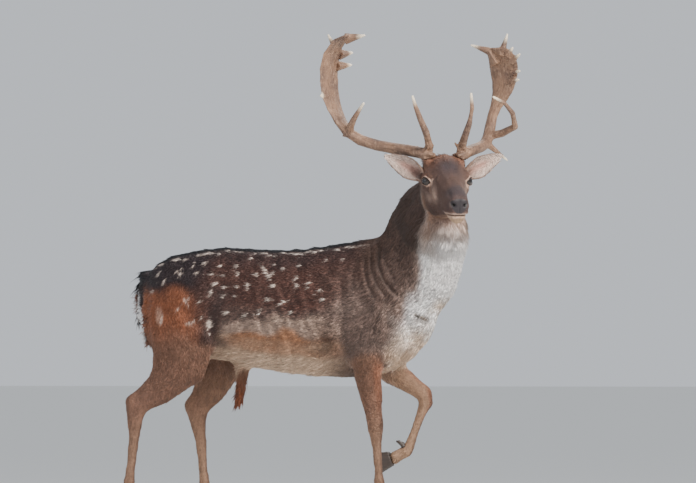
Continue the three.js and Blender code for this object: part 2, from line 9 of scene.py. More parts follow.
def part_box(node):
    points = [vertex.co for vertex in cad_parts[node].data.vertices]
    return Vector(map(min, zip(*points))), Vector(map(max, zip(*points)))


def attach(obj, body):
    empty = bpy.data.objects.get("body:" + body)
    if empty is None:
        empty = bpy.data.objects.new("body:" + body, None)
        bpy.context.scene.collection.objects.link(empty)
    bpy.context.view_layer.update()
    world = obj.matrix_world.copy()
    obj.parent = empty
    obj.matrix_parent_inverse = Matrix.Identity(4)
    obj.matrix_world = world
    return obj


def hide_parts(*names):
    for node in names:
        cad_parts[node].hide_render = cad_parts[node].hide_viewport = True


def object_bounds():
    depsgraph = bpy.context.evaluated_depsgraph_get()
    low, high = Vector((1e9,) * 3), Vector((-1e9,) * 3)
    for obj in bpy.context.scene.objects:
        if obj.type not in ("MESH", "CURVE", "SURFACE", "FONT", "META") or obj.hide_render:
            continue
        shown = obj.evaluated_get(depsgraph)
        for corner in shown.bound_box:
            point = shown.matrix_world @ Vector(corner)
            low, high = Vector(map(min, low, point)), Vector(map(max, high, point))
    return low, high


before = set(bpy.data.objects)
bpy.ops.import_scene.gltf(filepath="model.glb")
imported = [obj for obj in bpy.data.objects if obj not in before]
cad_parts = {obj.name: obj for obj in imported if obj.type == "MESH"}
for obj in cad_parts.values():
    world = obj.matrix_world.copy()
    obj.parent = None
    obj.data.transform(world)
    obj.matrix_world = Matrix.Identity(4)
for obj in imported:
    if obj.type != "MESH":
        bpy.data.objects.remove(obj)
CAD_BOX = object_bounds()

# ---- The buck's own frame ----
# Metres, x the way the trunk points, y the buck's left, z up, and the head's frame within it: x to
# the nose, y left, z up, from the middle point between the eyes.

EYES = np.array([0.5436, -0.2, 1.0248])
HEAD_TURN = math.radians(-66)
HEAD_PITCH = math.radians(7)
EYE_BACK = 0.002
EYE_SIDE = 0.0605
EYE_RADIUS = 0.017
HEAD_AXES = np.array(Matrix.Rotation(HEAD_TURN, 3, "Z") @ Matrix.Rotation(HEAD_PITCH, 3, "Y"))


def middle(node):
    return np.array(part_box(node)).sum(0) / 2


BETWEEN_EYES = (middle("eye_right") + middle("eye_left")) / 2
SHIFT = BETWEEN_EYES - (EYES - EYE_BACK * HEAD_AXES[:, 0])


def body_frame(points):
    return points - SHIFT


def from_body(points):
    return np.asarray(points) + SHIFT


def head_frame(points):
    """Points of the buck's frame in the head's frame."""
    return (points - EYES) @ HEAD_AXES


def from_head(points):
    return np.asarray(points) @ HEAD_AXES.T + EYES


SIDES = {"right": -1, "left": 1}
LEGS = ["foreleg_right", "foreleg_left", "hindleg_right", "hindleg_left"]
FLESH = ["trunk", "neck", "head", "tail", "sheath"]
FLESH += [f"{leg}_{'forearm' if leg[0] == 'f' else 'gaskin'}" for leg in LEGS]
FLESH += [f"{leg}_cannon" for leg in LEGS]
EYE_NODES = ["eye_right", "eye_left"]
ANTLERS = sorted(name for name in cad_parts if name.startswith("antler_"))
HOOVES = sorted(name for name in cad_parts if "claw" in name)

# ---- Small numeric tools ----


def ramp(value, start, end):
    """0 before start, 1 after end, smooth between. start may be above end."""
    t = np.clip((value - start) / (end - start), 0, 1)
    return t * t * (3 - 2 * t)


def bump(value, centre, width):
    return np.exp(-(((value - centre) / width) ** 2))


def blob(points, centre, radii):
    return np.exp(-((((points - np.asarray(centre)) / np.asarray(radii)) ** 2).sum(-1)))


def ripple(points, size, seed, waves=14):
    """A smooth noise of about -1 to 1, whose lumps are about size across."""
    rng = np.random.default_rng(seed)
    ways = rng.normal(size=(waves, 3))
    ways *= (rng.uniform(0.6, 1.6, waves) * math.pi / size / extent(ways))[:, None]
    return np.sin(points @ ways.T + rng.uniform(0, 2 * math.pi, waves)).sum(1) / math.sqrt(waves)


def extent(vectors):
    return np.linalg.norm(vectors, axis=-1)


def unit(vectors):
    return vectors / (extent(vectors)[..., None] + 1e-12)


def flattened(vectors, outward):
    """Unit vectors along a surface."""
    return unit(vectors - (vectors * outward).sum(-1, keepdims=True) * outward)


def mix(a, b, share):
    share = np.asarray(share)[..., None]
    return np.asarray(a) * (1 - share) + np.asarray(b) * share


def painted(hue, layers):
    """A colour under layers of (colour, how much of it), each over the one before."""
    for colour, share in layers:
        hue = mix(hue, colour, share)
    return hue


def paint(red, green, blue):
    """A colour as seen, 0 to 255, as linear light."""
    seen = np.array([red, green, blue]) / 255
    return np.where(seen <= 0.04045, seen / 12.92, ((seen + 0.055) / 1.055) ** 2.4)


def mirrored(spot):
    """Places with both sides of the head laid on one."""
    return np.stack([spot[:, 0], np.abs(spot[:, 1]), spot[:, 2]], 1)


# ---- Meshes as arrays ----


def read(mesh):
    """(points, triangles) of a mesh of triangles."""
    points = np.empty(len(mesh.vertices) * 3)
    mesh.vertices.foreach_get("co", points)
    mesh.calc_loop_triangles()
    triangles = np.empty(len(mesh.loop_triangles) * 3, dtype=np.int32)
    mesh.loop_triangles.foreach_get("vertices", triangles)
    return points.reshape(-1, 3), triangles.reshape(-1, 3)


def triangle_cross(corner):
    return np.cross(corner[:, 1] - corner[:, 0], corner[:, 2] - corner[:, 0])


def gathered(owners, values, count):
    """The sum of three columns of values for each owner."""
    return np.stack([np.bincount(owners, column, count) for column in values.T], 1)


def normals(points, triangles):
    face = triangle_cross(points[triangles])
    return unit(sum(gathered(triangles[:, k], face, len(points)) for k in range(3)))


class Surface:
    """A mesh's points and triangles, for pushing and smoothing."""

    def __init__(self, mesh):
        self.mesh = mesh
        self.points, self.triangles = read(mesh)
        edges = np.concatenate([self.triangles[:, pair] for pair in ([0, 1], [1, 2], [2, 0])])
        self.a, self.b = edges.T
        self.count = np.bincount(self.a, minlength=len(self.points)).clip(1)[:, None]

    def normals(self):
        return normals(self.points, self.triangles)

    def smooth(self, rounds, share):
        """Each point moves towards its neighbours' mean. share is a number or one per point."""
        share = np.broadcast_to(np.asarray(share), (len(self.points),))[:, None]
        for _ in range(rounds):
            total = gathered(self.a, self.points[self.b], len(self.points))
            self.points += share * (total / self.count - self.points)

    def push(self, amount):
        """Moves each point along its normal."""
        self.points += self.normals() * amount[:, None]

    def done(self):
        self.mesh.vertices.foreach_set("co", self.points.ravel())
        self.mesh.update()


def new_object(name, made):
    holder = bpy.data.objects.new(name, made)
    bpy.context.scene.collection.objects.link(holder)
    return holder


def as_mesh(shape, mesh):
    """Writes a bmesh to a mesh, given as itself or by its new name, and lets the bmesh go."""
    if isinstance(mesh, str):
        mesh = bpy.data.meshes.new(mesh)
    shape.to_mesh(mesh)
    shape.free()
    return mesh


def joined(nodes, swell):
    """One mesh of merged copies of CAD nodes, each swollen so that neighbours overlap."""
    whole = bmesh.new()
    for node in nodes:
        part = bmesh.new()
        part.from_mesh(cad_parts[node].data)
        bmesh.ops.remove_doubles(part, verts=part.verts, dist=2e-6)
        part.normal_update()
        for vertex in part.verts:
            vertex.co += vertex.normal * swell
        mesh = as_mesh(part, "part")
        whole.from_mesh(mesh)
        bpy.data.meshes.remove(mesh)
    return as_mesh(whole, "joined")


def remeshed(nodes, voxel, swell=0.0006):
    """One even mesh of triangles over copies of CAD nodes."""
    mesh = joined(nodes, swell)
    holder = new_object("holder", mesh)
    modifier = holder.modifiers.new("even", "REMESH")
    modifier.mode = "VOXEL"
    modifier.voxel_size = voxel
    graph = bpy.context.evaluated_depsgraph_get()
    made = bpy.data.meshes.new_from_object(holder.evaluated_get(graph))
    bpy.data.objects.remove(holder)
    bpy.data.meshes.remove(mesh)
    shape = bmesh.new()
    shape.from_mesh(made)
    bmesh.ops.triangulate(shape, faces=shape.faces)
    return as_mesh(shape, made)


def subdivided(mesh, chosen):
    """Splits the edges of the faces whose middle points chosen() picks."""
    shape = bmesh.new()
    shape.from_mesh(mesh)
    picked = chosen(np.array([face.calc_center_median() for face in shape.faces]))
    faces = [face for face, wanted in zip(shape.faces, picked) if wanted]
    edges = list({edge for face in faces for edge in face.edges})
    bmesh.ops.subdivide_edges(shape, edges=edges, cuts=1, use_grid_fill=True)
    bmesh.ops.triangulate(shape, faces=shape.faces)
    return as_mesh(shape, mesh)


# ---- Bones: what the flesh and the coat follow ----
# Each bone is a line through one part of the body, with the radius of the flesh round it. The coat
# lies from the bone's first point towards its last.

NECK_LINE = np.array([
    [0.502, -0.118, 1.042], [0.498, -0.106, 1.004], [0.489, -0.086, 0.962],
    [0.474, -0.062, 0.918], [0.456, -0.038, 0.866], [0.432, -0.018, 0.806],
    [0.388, -0.004, 0.736], [0.33, 0, 0.65], [0.28, 0, 0.56],
])
NECK_TURN = np.radians([-62, -58, -50, -38, -24, -10, 0, 0, 0])
LEG_JOINTS = {
    "foreleg_right": [[0.33, -0.084, 0.59], [0.276, -0.1, 0.474], [0.297, -0.08, 0.285],
                      [0.308, -0.062, 0.092], [0.337, -0.064, 0.043]],
    "foreleg_left": [[0.318, 0.084, 0.59], [0.268, 0.098, 0.486], [0.423, 0.088, 0.374],
                     [0.364, 0.084, 0.212], [0.314, 0.084, 0.185]],
    "hindleg_right": [[-0.29, -0.066, 0.735], [-0.308, -0.084, 0.64], [-0.28, -0.102, 0.53],
                      [-0.333, -0.106, 0.425], [-0.436, -0.096, 0.345], [-0.466, -0.086, 0.092],
                      [-0.437, -0.088, 0.043]],
    "hindleg_left": [[-0.29, 0.066, 0.735], [-0.286, 0.084, 0.64], [-0.226, 0.102, 0.53],
                     [-0.244, 0.108, 0.42], [-0.292, 0.102, 0.332], [-0.269, 0.096, 0.092],
                     [-0.24, 0.098, 0.043]],
}
LEG_RADII = {"f": [0.06, 0.034, 0.021, 0.019], "h": [0.1, 0.09, 0.055, 0.03, 0.021, 0.019]}
BACK_LINE = [[0.4, 0, 0.62], [0.18, 0, 0.645], [-0.15, 0, 0.66], [-0.36, 0, 0.68], [-0.43, 0, 0.66]]
TAIL_LINE = [[-0.42, 0, 0.752], [-0.45, 0, 0.718], [-0.455, 0.001, 0.655], [-0.453, 0.002, 0.596]]
SHEATH_LINE = [[-0.115, 0, 0.5], [-0.144, 0, 0.352]]
HEAD_LINE = from_head([[0.182, 0, -0.04], [0.05, 0, -0.03], [-0.13, 0, 0]])
JAW_LINE = from_head([[0.165, 0, -0.1], [0.05, 0, -0.085], [-0.09, 0, -0.085]])
BONE_LINES = [
    # part, line, radius of the flesh round each bone, and which way the hair lies if not along it
    ("trunk", BACK_LINE, [0.15, 0.17, 0.16, 0.13], (-1, 0, -0.22)),
    ("neck", NECK_LINE, [0.05, 0.06, 0.08, 0.1, 0.11, 0.12, 0.14, 0.15], None),
    ("head", HEAD_LINE, [0.035, 0.06], None),
    ("head", JAW_LINE, [0.03, 0.05], None),
    ("tail", TAIL_LINE, [0.02], (0.1, 0, -1)),
    ("sheath", SHEATH_LINE, [0.016], None),
]
BONE_LINES += [(leg, line, LEG_RADII[leg[0]], None) for leg, line in LEG_JOINTS.items()]
THICK_LEG = 0.04  # a leg's bone of a larger radius belongs to the thigh, of a smaller to the shin
SHARE_POWER = -7  # by which a bone's share falls with the distance


class Bone:
    def __init__(self, part, start, end, radius=1.0, hair=None):
        self.part, self.radius = part, radius
        self.start, self.end = np.array(start, float), np.array(end, float)
        self.length = float(extent(self.end - self.start))
        self.way = (self.end - self.start) / self.length
        self.hair = unit(np.array(hair, float)) if hair else self.way
        level = np.array([0, 1, 0]) if abs(self.way[1]) < 0.8 else np.array([1, 0, 0])
        self.side = unit(np.cross(self.way, np.cross(level, self.way)))
        self.over = np.cross(self.way, self.side)
        self.kind = part
        if part in LEGS:
            self.kind = "thigh" if radius > THICK_LEG else "shin"

    def along(self, points):
        return np.clip((points - self.start) @ self.way / self.length, 0, 1)

    def distance(self, points):
        near = self.start + self.along(points)[:, None] * (self.end - self.start)
        return extent(points - near)

    def round(self, points):
        """The angle round the bone, 0 to 1."""
        rest = points - self.start
        return np.arctan2(rest @ self.over, rest @ self.side) / (2 * math.pi) + 0.5


BONES = [
    Bone(part, start, end, radius, hair)
    for part, line, radii, hair in BONE_LINES
    for start, end, radius in zip(line[:-1], line[1:], np.resize(radii, len(line)))
]
BONE_PARTS = np.array([bone.part for bone in BONES])


def bone_shares(points):
    """How much each bone has of each point: one row per point, summing to 1."""
    shares = np.stack([(bone.distance(points) / bone.radius + 0.15) ** SHARE_POWER for bone in BONES], 1)
    return shares / shares.sum(1, keepdims=True)


def lie(points, outward):
    """The way that the coat lies at each point, along the surface."""
    return flattened(bone_shares(points) @ np.array([bone.hair for bone in BONES]), outward)


# ---- The side that faces the camera, where the sculpt folds ----

VIEW_TURN = math.radians(-78)
TOWARDS = np.array([math.cos(VIEW_TURN), math.sin(VIEW_TURN), 0])
RIGHTWARDS = np.array([-TOWARDS[1], TOWARDS[0], 0])
FAR = 9.0  # farther than any place on the buck
TINY = 1e-9  # keeps a division from a length of nothing


def groove(points, line, width, fade):
    """1 on a line of (rightwards, up) places, falling off over width and, before its ends, over fade."""
    across = np.stack([points @ RIGHTWARDS, points[:, 2]], 1)
    best = np.full(len(points), FAR)
    run = np.zeros(len(points))
    length = 0
    for start, end in zip(line[:-1], line[1:]):
        way = np.subtract(end, start)
        t = np.clip(((across - start) @ way) / (way @ way), 0, 1)
        away = extent(across - start - t[:, None] * way)
        run = np.where(away < best, length + t * extent(way), run)
        best = np.minimum(best, away)
        length += extent(way)
    return bump(best, 0, width) * ramp(np.minimum(run, length - run), 0, fade)


# ---- The ears' and antlers' frame ----
# Metres, x forwards, y left, z up, from the middle point between the eyes.

ANTLER_AXES = np.array(Matrix.Rotation(math.radians(-78), 3, "Z"))
EAR_ROOT = {"right": (-0.05, -0.06, 0.008), "left": (-0.07, 0.044, 0.014)}
EAR_TIP = {"right": (-0.066, -0.19, 0.079), "left": (-0.116, 0.168, 0.08)}
EAR_OPEN = {"right": (0.98, -0.1, -0.1), "left": (0.95, 0.3, -0.1)}
# Up the ear: the radius of its roll, and how far its edges come round in radians.
EAR_RADII = [0.017, 0.021, 0.028, 0.033, 0.032, 0.027, 0.0205, 0.0105]
EAR_ROLLS = [2.6, 2.3, 1.8, 1.4, 1.2, 1.05, 0.98, 0.92]


def from_antler(points):
    """Points of the antlers' frame in the buck's frame."""
    return np.asarray(points) @ ANTLER_AXES.T + EYES


class Ear:
    """Where an ear stands: its root, its length, and its ways up, out of its hollow and across."""

    def __init__(self, name):
        self.root = from_antler(EAR_ROOT[name])
        stem = from_antler(EAR_TIP[name]) - self.root
        self.length = extent(stem)
        self.way = unit(stem)
        self.opened = np.asarray(EAR_OPEN[name]) @ ANTLER_AXES.T
        self.out = flattened(self.opened, self.way)
        self.beside = np.cross(self.way, self.out)
        self.stub = self.root + 0.16 * stem

    def rows(self, along):
        """The roll's radius, its half angle, and how far it stands out from the stem."""
        place = along * (len(EAR_RADII) - 1)
        index = np.arange(len(EAR_RADII))
        radius = np.interp(place, index, EAR_RADII)
        bow = 0.01 * np.sin(math.pi * along)
        return radius, np.interp(place, index, EAR_ROLLS), radius * 0.6 - bow


EARS = {name: Ear(name) for name in SIDES}

# ---- The skin ----

COAT_DEPTH = {
    "trunk": 0.0075, "neck": 0.006, "head": 0.0022, "tail": 0.0025, "sheath": 0.006,
    "thigh": 0.006, "shin": 0.0024,
}
# The folds of skin between neck and shoulder: (line, width, depth), the line in (rightwards, up) places.
NECK_FOLDS = [
    ([(0.29, 0.846), (0.283, 0.811), (0.285, 0.769), (0.302, 0.726), (0.328, 0.692), (0.362, 0.668)],
     0.007, 0.0066),
    ([(0.272, 0.832), (0.264, 0.79), (0.268, 0.748), (0.285, 0.709), (0.314, 0.668)], 0.0066, 0.0048),
    ([(0.259, 0.822), (0.247, 0.79), (0.246, 0.752), (0.257, 0.709), (0.28, 0.66)], 0.0056, 0.004),
    ([(0.22, 0.8), (0.207, 0.742), (0.205, 0.676)], 0.01, 0.0022),
    ([(0.3, 0.838), (0.304, 0.79), (0.322, 0.743), (0.352, 0.703)], 0.0085, 0.0024),
]
FOLD_FADE = 0.045
SWELL_BESIDE = 0.014
CHEST_CREASE = [(0.386, 0.624), (0.415, 0.612), (0.444, 0.598)]
CREASE_FADE = 0.012
# On the sides of the trunk: (how far out, (x, z), (radius along x, along z)).
SIDE_FORMS = [
    # the shoulder blade, the elbow, and the hollows behind and before them
    (0.006, (0.3, 0.7), (0.05, 0.09)),
    (0.008, (0.262, 0.52), (0.042, 0.045)),
    (-0.007, (0.205, 0.6), (0.022, 0.11)),
    (-0.005, (0.345, 0.61), (0.016, 0.08)),
    # the hollow of the flank, the hip bone, and the long muscles of the thigh
    (-0.009, (-0.165, 0.69), (0.05, 0.06)),
    (0.005, (-0.235, 0.775), (0.03, 0.022)),
    (0.006, (-0.33, 0.64), (0.06, 0.11)),
    (-0.005, (-0.395, 0.6), (0.014, 0.11)),
    (-0.006, (-0.205, 0.56), (0.016, 0.09)),
]
RIB_STEP = 0.034


def coat_depth(points):
    """How deep the coat is at each point in the buck's frame."""
    return bone_shares(points) @ np.array([COAT_DEPTH[bone.kind] for bone in BONES])


def sculpt_body(points, outward):
    """How far each point of trunk, neck and legs moves out, in metres."""
    x, y, z = points.T
    side = np.abs(y)
    profile = points[:, [0, 2]]
    near = ramp(outward @ TOWARDS, 0.05, 0.5)
    amount = -near * 0.009 * groove(points, CHEST_CREASE, 0.009, CREASE_FADE)
    for line, width, depth in NECK_FOLDS:
        beside = [(right - SWELL_BESIDE, up) for right, up in line]
        amount -= near * depth * groove(points, line, width, FOLD_FADE)
        amount += near * depth * 0.15 * groove(points, beside, width * 1.3, FOLD_FADE)
    flank = ramp(side, 0.05, 0.1)
    for depth, centre, radii in SIDE_FORMS:
        amount += flank * depth * blob(profile, centre, radii)
    ribs = ramp(x, -0.13, -0.02) * ramp(x, 0.2, 0.1) * ramp(z, 0.5, 0.56) * ramp(z, 0.74, 0.66)
    amount += flank * ribs * 0.0005 * np.sin((x + 0.35 * (z - 0.6)) / RIB_STEP * 2 * math.pi)
    # The rump's hair fills the space in front of the tail, whose top is flat.
    by_tail = ramp(side, 0.065, 0.03) * ramp(x, -0.395, -0.412) * ramp(x, -0.4425, -0.4365)
    amount += 0.017 * by_tail * ramp(z, 0.57, 0.62) * ramp(z, 0.76, 0.73)
    amount -= 0.007 * blob(profile, (-0.452, 0.742), (0.02, 0.016))
    # The points of the hocks and the hollows before their sinews, the knees, and the coronets.
    behind = ramp(outward[:, 0], -0.15, -0.65)
    beside = ramp(np.abs(outward[:, 1]), 0.45, 0.85)
    for leg, joints in LEG_JOINTS.items():
        rest = points - joints[-3]
        if leg[0] == "h":
            amount += behind * 0.011 * blob(rest, (-0.028, 0, 0.016), (0.03, 0.04, 0.028))
            amount -= beside * 0.005 * blob(rest, (-0.002, 0, 0.062), (0.016, 0.05, 0.042))
        else:
            amount += 0.0042 * blob(rest, (0.004, 0, 0), (0.034, 0.034, 0.032))
        amount += 0.0042 * blob(points, joints[-1], 0.034)
        amount += 0.0016 * blob(points, joints[-2], 0.03)
    # The spine's low ridge and the furrow on each side of it.
    above = ramp(outward[:, 2], 0.5, 0.9) * ramp(x, 0.42, 0.36)
    amount += above * (0.003 * bump(side, 0, 0.016) - 0.002 * bump(side, 0.035, 0.016))
    return amount + 0.0009 * ripple(points, 0.035, 3) * ramp(z, 0.45, 0.55)


EYE_TURN = math.radians(42)
EYE_LOOK = np.array([math.sin(EYE_TURN), math.cos(EYE_TURN), 0])
EYE_CORNER = np.array([math.cos(EYE_TURN), -math.sin(EYE_TURN), 0])
EYE_HALF_WIDTH = math.radians(53)
EYE_HALF_HEIGHT = math.radians(39)


def eye_place(spot, side):
    """Places from one eye's centre, their distance from it, and how far out in lid openings."""
    rest = spot - (-EYE_BACK, side * EYE_SIDE, 0)
    distance = extent(rest)
    along = rest @ (EYE_CORNER * (1, side, 1))
    out = rest @ (EYE_LOOK * (1, side, 1))
    forwards = np.arctan2(along, np.maximum(out, 1e-5))
    up = np.arcsin(np.clip(rest[:, 2] / (distance + TINY), -1, 1)) + 0.12 * forwards
    half = np.where(up > 0, EYE_HALF_HEIGHT, EYE_HALF_HEIGHT * 0.85)
    corner = 1 + 0.25 * ramp(np.abs(forwards), 0.5, 0.95)
    opening = np.hypot(forwards / EYE_HALF_WIDTH, up * corner / half)
    return rest, distance, np.where(out > 0, opening, FAR)


def mouth_height(x):
    return -0.0845 - 0.03 * (0.178 - x) + 0.007 * ramp(x, 0.12, 0.09)


# On the head, the same on both sides: (how far out, centre, radii).
HEAD_FORMS = [
    # brow, rim under the eye, jaw muscle, hollow of the cheek, tear pit, forehead, bridge of the nose
    (0.003, (-0.004, 0.06, 0.026), (0.024, 0.016, 0.008)),
    (0.0028, (0.01, 0.058, -0.026), (0.034, 0.016, 0.008)),
    (0.0045, (-0.052, 0.06, -0.058), (0.034, 0.022, 0.036)),
    (-0.005, (0.052, 0.046, -0.048), (0.03, 0.018, 0.028)),
    (-0.0032, (0.04, 0.052, -0.01), (0.01, 0.012, 0.0035)),
    (-0.002, (0.03, 0, 0.05), (0.05, 0.018, 0.02)),
    (0.0022, (0.095, 0.02, 0.012), (0.04, 0.012, 0.016)),
    # the pad of the nose, its wings, the nostrils and the slits behind them, the furrow, the chin
    (0.0035, (0.176, 0.012, -0.042), (0.012, 0.014, 0.01)),
    (0.0022, (0.166, 0.026, -0.057), (0.014, 0.009, 0.012)),
    (-0.0105, (0.177, 0.0172, -0.0528), (0.012, 0.0062, 0.005)),
    (-0.006, (0.172, 0.0248, -0.0475), (0.012, 0.0044, 0.0052)),
    (-0.0022, (0.184, 0, -0.067), (0.016, 0.0016, 0.014)),
    (0.004, (0.15, 0, -0.106), (0.02, 0.016, 0.01)),
]
# Up from the mouth's line: (how far out, middle, width).
LIP_FORMS = [(-0.005, 0, 0.0026), (0.0022, 0.0075, 0.0052), (0.0016, -0.008, 0.0048)]


def sculpt_head(spot):
    """How far each point of the head moves out, in metres. spot is in the head's frame."""
    both = mirrored(spot)
    x, side, z = both.T
    above = z - mouth_height(x)
    lips = sum(depth * bump(above, at, width) for depth, at, width in LIP_FORMS)
    lips -= 0.0014 * ramp(above, 0, -0.004) * ramp(above, -0.022, -0.012)
    amount = ramp(x, 0.088, 0.104) * lips - 0.003 * ramp(x, 0.135, 0.155) * ramp(side, 0.018, 0.028)
    return amount + sum(depth * blob(both, centre, radii) for depth, centre, radii in HEAD_FORMS)


def detail_places(points):
    """Where the head needs its finest triangles: eyes, nose and mouth."""
    spot = mirrored(head_frame(body_frame(points)))
    x, side, z = spot.T
    eyes = extent(spot - (0, EYE_SIDE, 0)) < 0.03
    muzzle = (x > 0.128) & (z > -0.118) & (z < 0.03) & (side < 0.06)
    lips = (x > 0.085) & (np.abs(z + 0.078) < 0.012) & (side < 0.06)
    return eyes | muzzle | lips


def head_places(points):
    spot = head_frame(body_frame(points))
    return (spot[:, 0] > -0.075) & (extent(spot) < 0.22)


SKIN_VOXEL = 0.0061
LID = 0.0019
EYE_SUNK = 0.0042


def build_skin():
    mesh = remeshed(FLESH + EYE_NODES, SKIN_VOXEL)
    mesh = subdivided(subdivided(mesh, head_places), detail_places)
    skin = Surface(mesh)
    place = body_frame(skin.points)
    on_head = head_places(skin.points)
    skin.smooth(4, 0.5)
    skin.smooth(10, np.where(on_head, 0.12, 0.5 - 0.25 * ramp(place[:, 2], 0.5, 0.4)))
    stub = sum(blob(place, ear.stub, 0.034) for ear in EARS.values())
    skin.smooth(90, np.clip(stub * 1.6 - 0.15, 0, 0.9))
    skin.push(-coat_depth(body_frame(skin.points)))
    skin.smooth(2, 0.4)
    outward = skin.normals()
    place = body_frame(skin.points)
    spot = head_frame(place)
    face = ramp(spot[:, 0], -0.11, -0.08) * (extent(spot) < 0.26)
    amount = (1 - face) * sculpt_body(place, outward) + face * sculpt_head(spot)
    skin.points += outward * amount[:, None]
    skin.smooth(1, np.where(on_head, 0.25, 0.4))
    # The lids close round the eyeballs, and the skin behind their opening sinks into them.
    for side_sign in SIDES.values():
        rest, distance, opening = eye_place(head_frame(body_frame(skin.points)), side_sign)
        lid = EYE_RADIUS + LID - 0.001 * ramp(opening, 1.15, 1.6)
        sunk = EYE_RADIUS - EYE_SUNK
        wanted = sunk + (lid - sunk) * ramp(opening, 0.93, 1.1)
        wanted = distance + (wanted - distance) * ramp(opening, 2.1, 1.25) * (distance < 0.05)
        moved = rest / (distance[:, None] + TINY) * wanted[:, None]
        skin.points += (moved - rest) @ HEAD_AXES.T
    skin.done()
    return skin


skin_surface = build_skin()
skin = new_object("skin", skin_surface.mesh)
skin.data.name = "skin"
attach(skin, "root")
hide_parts(*FLESH)

# ---- Ears ----

EAR_ACROSS, EAR_ALONG = 30, 46
EAR_WALL = 0.0024


def ear_sheet(ear, across, along):
    """Points on an ear, in the buck's frame. across runs -1 to 1 over the leaf, along 0 to 1 up it."""
    radius, roll, stand = ear.rows(along)
    rounded = along - 0.055 * across**2 * ramp(along, 0.78, 1)
    stem = ear.root + ear.way * (rounded * ear.length)[:, None] + ear.out * stand[:, None]
    angle = across * roll * (1 - 0.02 * np.sin(along * 40))
    fold = 0.0012 * np.sin(across * 9) * np.sin(math.pi * along) * (1 - across**2)
    reach = radius - 0.0008 + fold
    round_it = ear.beside * np.sin(angle)[:, None] - ear.out * np.cos(angle)[:, None]
    return stem + round_it * reach[:, None]


def build_ear(name):
    shape = bmesh.new()
    bmesh.ops.create_grid(shape, x_segments=EAR_ACROSS, y_segments=EAR_ALONG, size=1)
    flat = np.array([vertex.co for vertex in shape.verts])
    placed = from_body(ear_sheet(EARS[name], flat[:, 0], (flat[:, 1] + 1) / 2))
    for vertex, point in zip(shape.verts, placed):
        vertex.co = point
    axes = {f"use_axis_{axis}": True for axis in "xyz"}
    bmesh.ops.smooth_vert(shape, verts=shape.verts, factor=0.3, **axes)
    opened = Vector(EARS[name].opened)
    shape.normal_update()
    if sum(face.normal.dot(opened) * face.calc_area() for face in shape.faces) > 0:
        bmesh.ops.reverse_faces(shape, faces=shape.faces)
    bmesh.ops.solidify(shape, geom=shape.faces[:], thickness=EAR_WALL)
    if shape.calc_volume(signed=True) < 0:
        bmesh.ops.reverse_faces(shape, faces=shape.faces)
    bmesh.ops.triangulate(shape, faces=shape.faces)
    piece = new_object(f"ear_skin_{name}", as_mesh(shape, f"ear_skin_{name}"))
    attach(piece, "root")
    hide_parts(f"ear_{name}")
    return piece


def inside_ear(ear, points, outward):
    """Whether points are on the hollow face of an ear, and how far across and along the leaf."""
    rest = points - ear.root
    along = rest @ ear.way / ear.length
    _, roll, stand = ear.rows(np.clip(along, 0, 1))
    depth = rest @ ear.out - stand
    beside = rest @ ear.beside
    from_stem = beside[:, None] * ear.beside + depth[:, None] * ear.out
    return (from_stem * outward).sum(1) < 0, np.arctan2(beside, -depth) / roll, along


# ---- Markings, with some painted shade ----

# The line of the back from above the tail to the withers, as (x, z).
BACK_TOP = np.array([
    [-0.431, 0.715], [-0.414, 0.755], [-0.37, 0.797], [-0.27, 0.82], [-0.165, 0.83],
    [-0.04, 0.82], [0.07, 0.826], [0.18, 0.842], [0.29, 0.856], [0.375, 0.812],
])

CHESTNUT = paint(82, 54, 47)
DARK_BACK = paint(56, 41, 41)
RUMP_DARK = paint(48, 38, 41)
STRIPE_BLACK = paint(22, 22, 28)
RUFOUS = paint(138, 84, 58)
THIGH_BROWN = paint(122, 88, 72)
BAND_DARK = paint(62, 45, 42)
GREY_BAND = paint(160, 136, 122)
TAN = paint(158, 112, 82)
CREAM = paint(196, 168, 144)
SHOULDER = paint(98, 79, 72)
SHOULDER_LOW = paint(130, 111, 102)
ELBOW = paint(84, 56, 42)
SPOT = paint(216, 198, 186)
NECK_DARK = paint(74, 57, 51)
NAPE = paint(76, 57, 49)
WHITE = paint(226, 223, 224)
THROAT_TAN = paint(150, 117, 97)
LEG_BROWN = paint(116, 84, 68)
LEG_PALE = paint(176, 144, 118)
FACE = paint(94, 70, 61)
FOREHEAD = paint(64, 52, 56)
RUST = paint(134, 86, 64)
MUZZLE_DARK = paint(64, 53, 56)
CHEEK_DARK = paint(82, 58, 50)
PALE_FACE = paint(186, 158, 142)
EYE_RING = paint(196, 164, 146)
CHIN = paint(168, 140, 114)
MOUTH_DARK = paint(38, 28, 26)
NOSE_BLACK = paint(40, 35, 39)
# near black: the painted shade inside the nostrils
NOSTRIL_SHADE = paint(9, 7, 7)
EAR_PALE = paint(214, 194, 184)
EAR_PINK = paint(170, 122, 108)
EAR_BACK = paint(96, 70, 58)
TAIL_BLACK = paint(22, 20, 24)
SHEATH_BRUSH = paint(112, 62, 38)
FOLD_DARK = 80  # share of the light that a fold takes, for a metre of its depth


def neck_angle(points):
    """How far round from the front of the neck each point is, in radians, and how far down it."""
    last = len(NECK_LINE) - 1
    steps = np.linspace(0, last, 60)
    index = np.arange(last + 1)
    line = np.stack([np.interp(steps, index, column) for column in NECK_LINE.T], 1)
    # The parts keep the table of distances small.
    parts = np.array_split(points, 1 + len(points) // 5000)
    nearest = np.concatenate([((part[:, None] - line) ** 2).sum(2).argmin(1) for part in parts])
    rest = points - line[nearest]
    turn = np.interp(steps, index, NECK_TURN)[nearest]
    ahead = rest[:, 0] * np.cos(turn) + rest[:, 1] * np.sin(turn)
    beside = -rest[:, 0] * np.sin(turn) + rest[:, 1] * np.cos(turn)
    return np.abs(np.arctan2(beside, ahead)), steps[nearest] / last


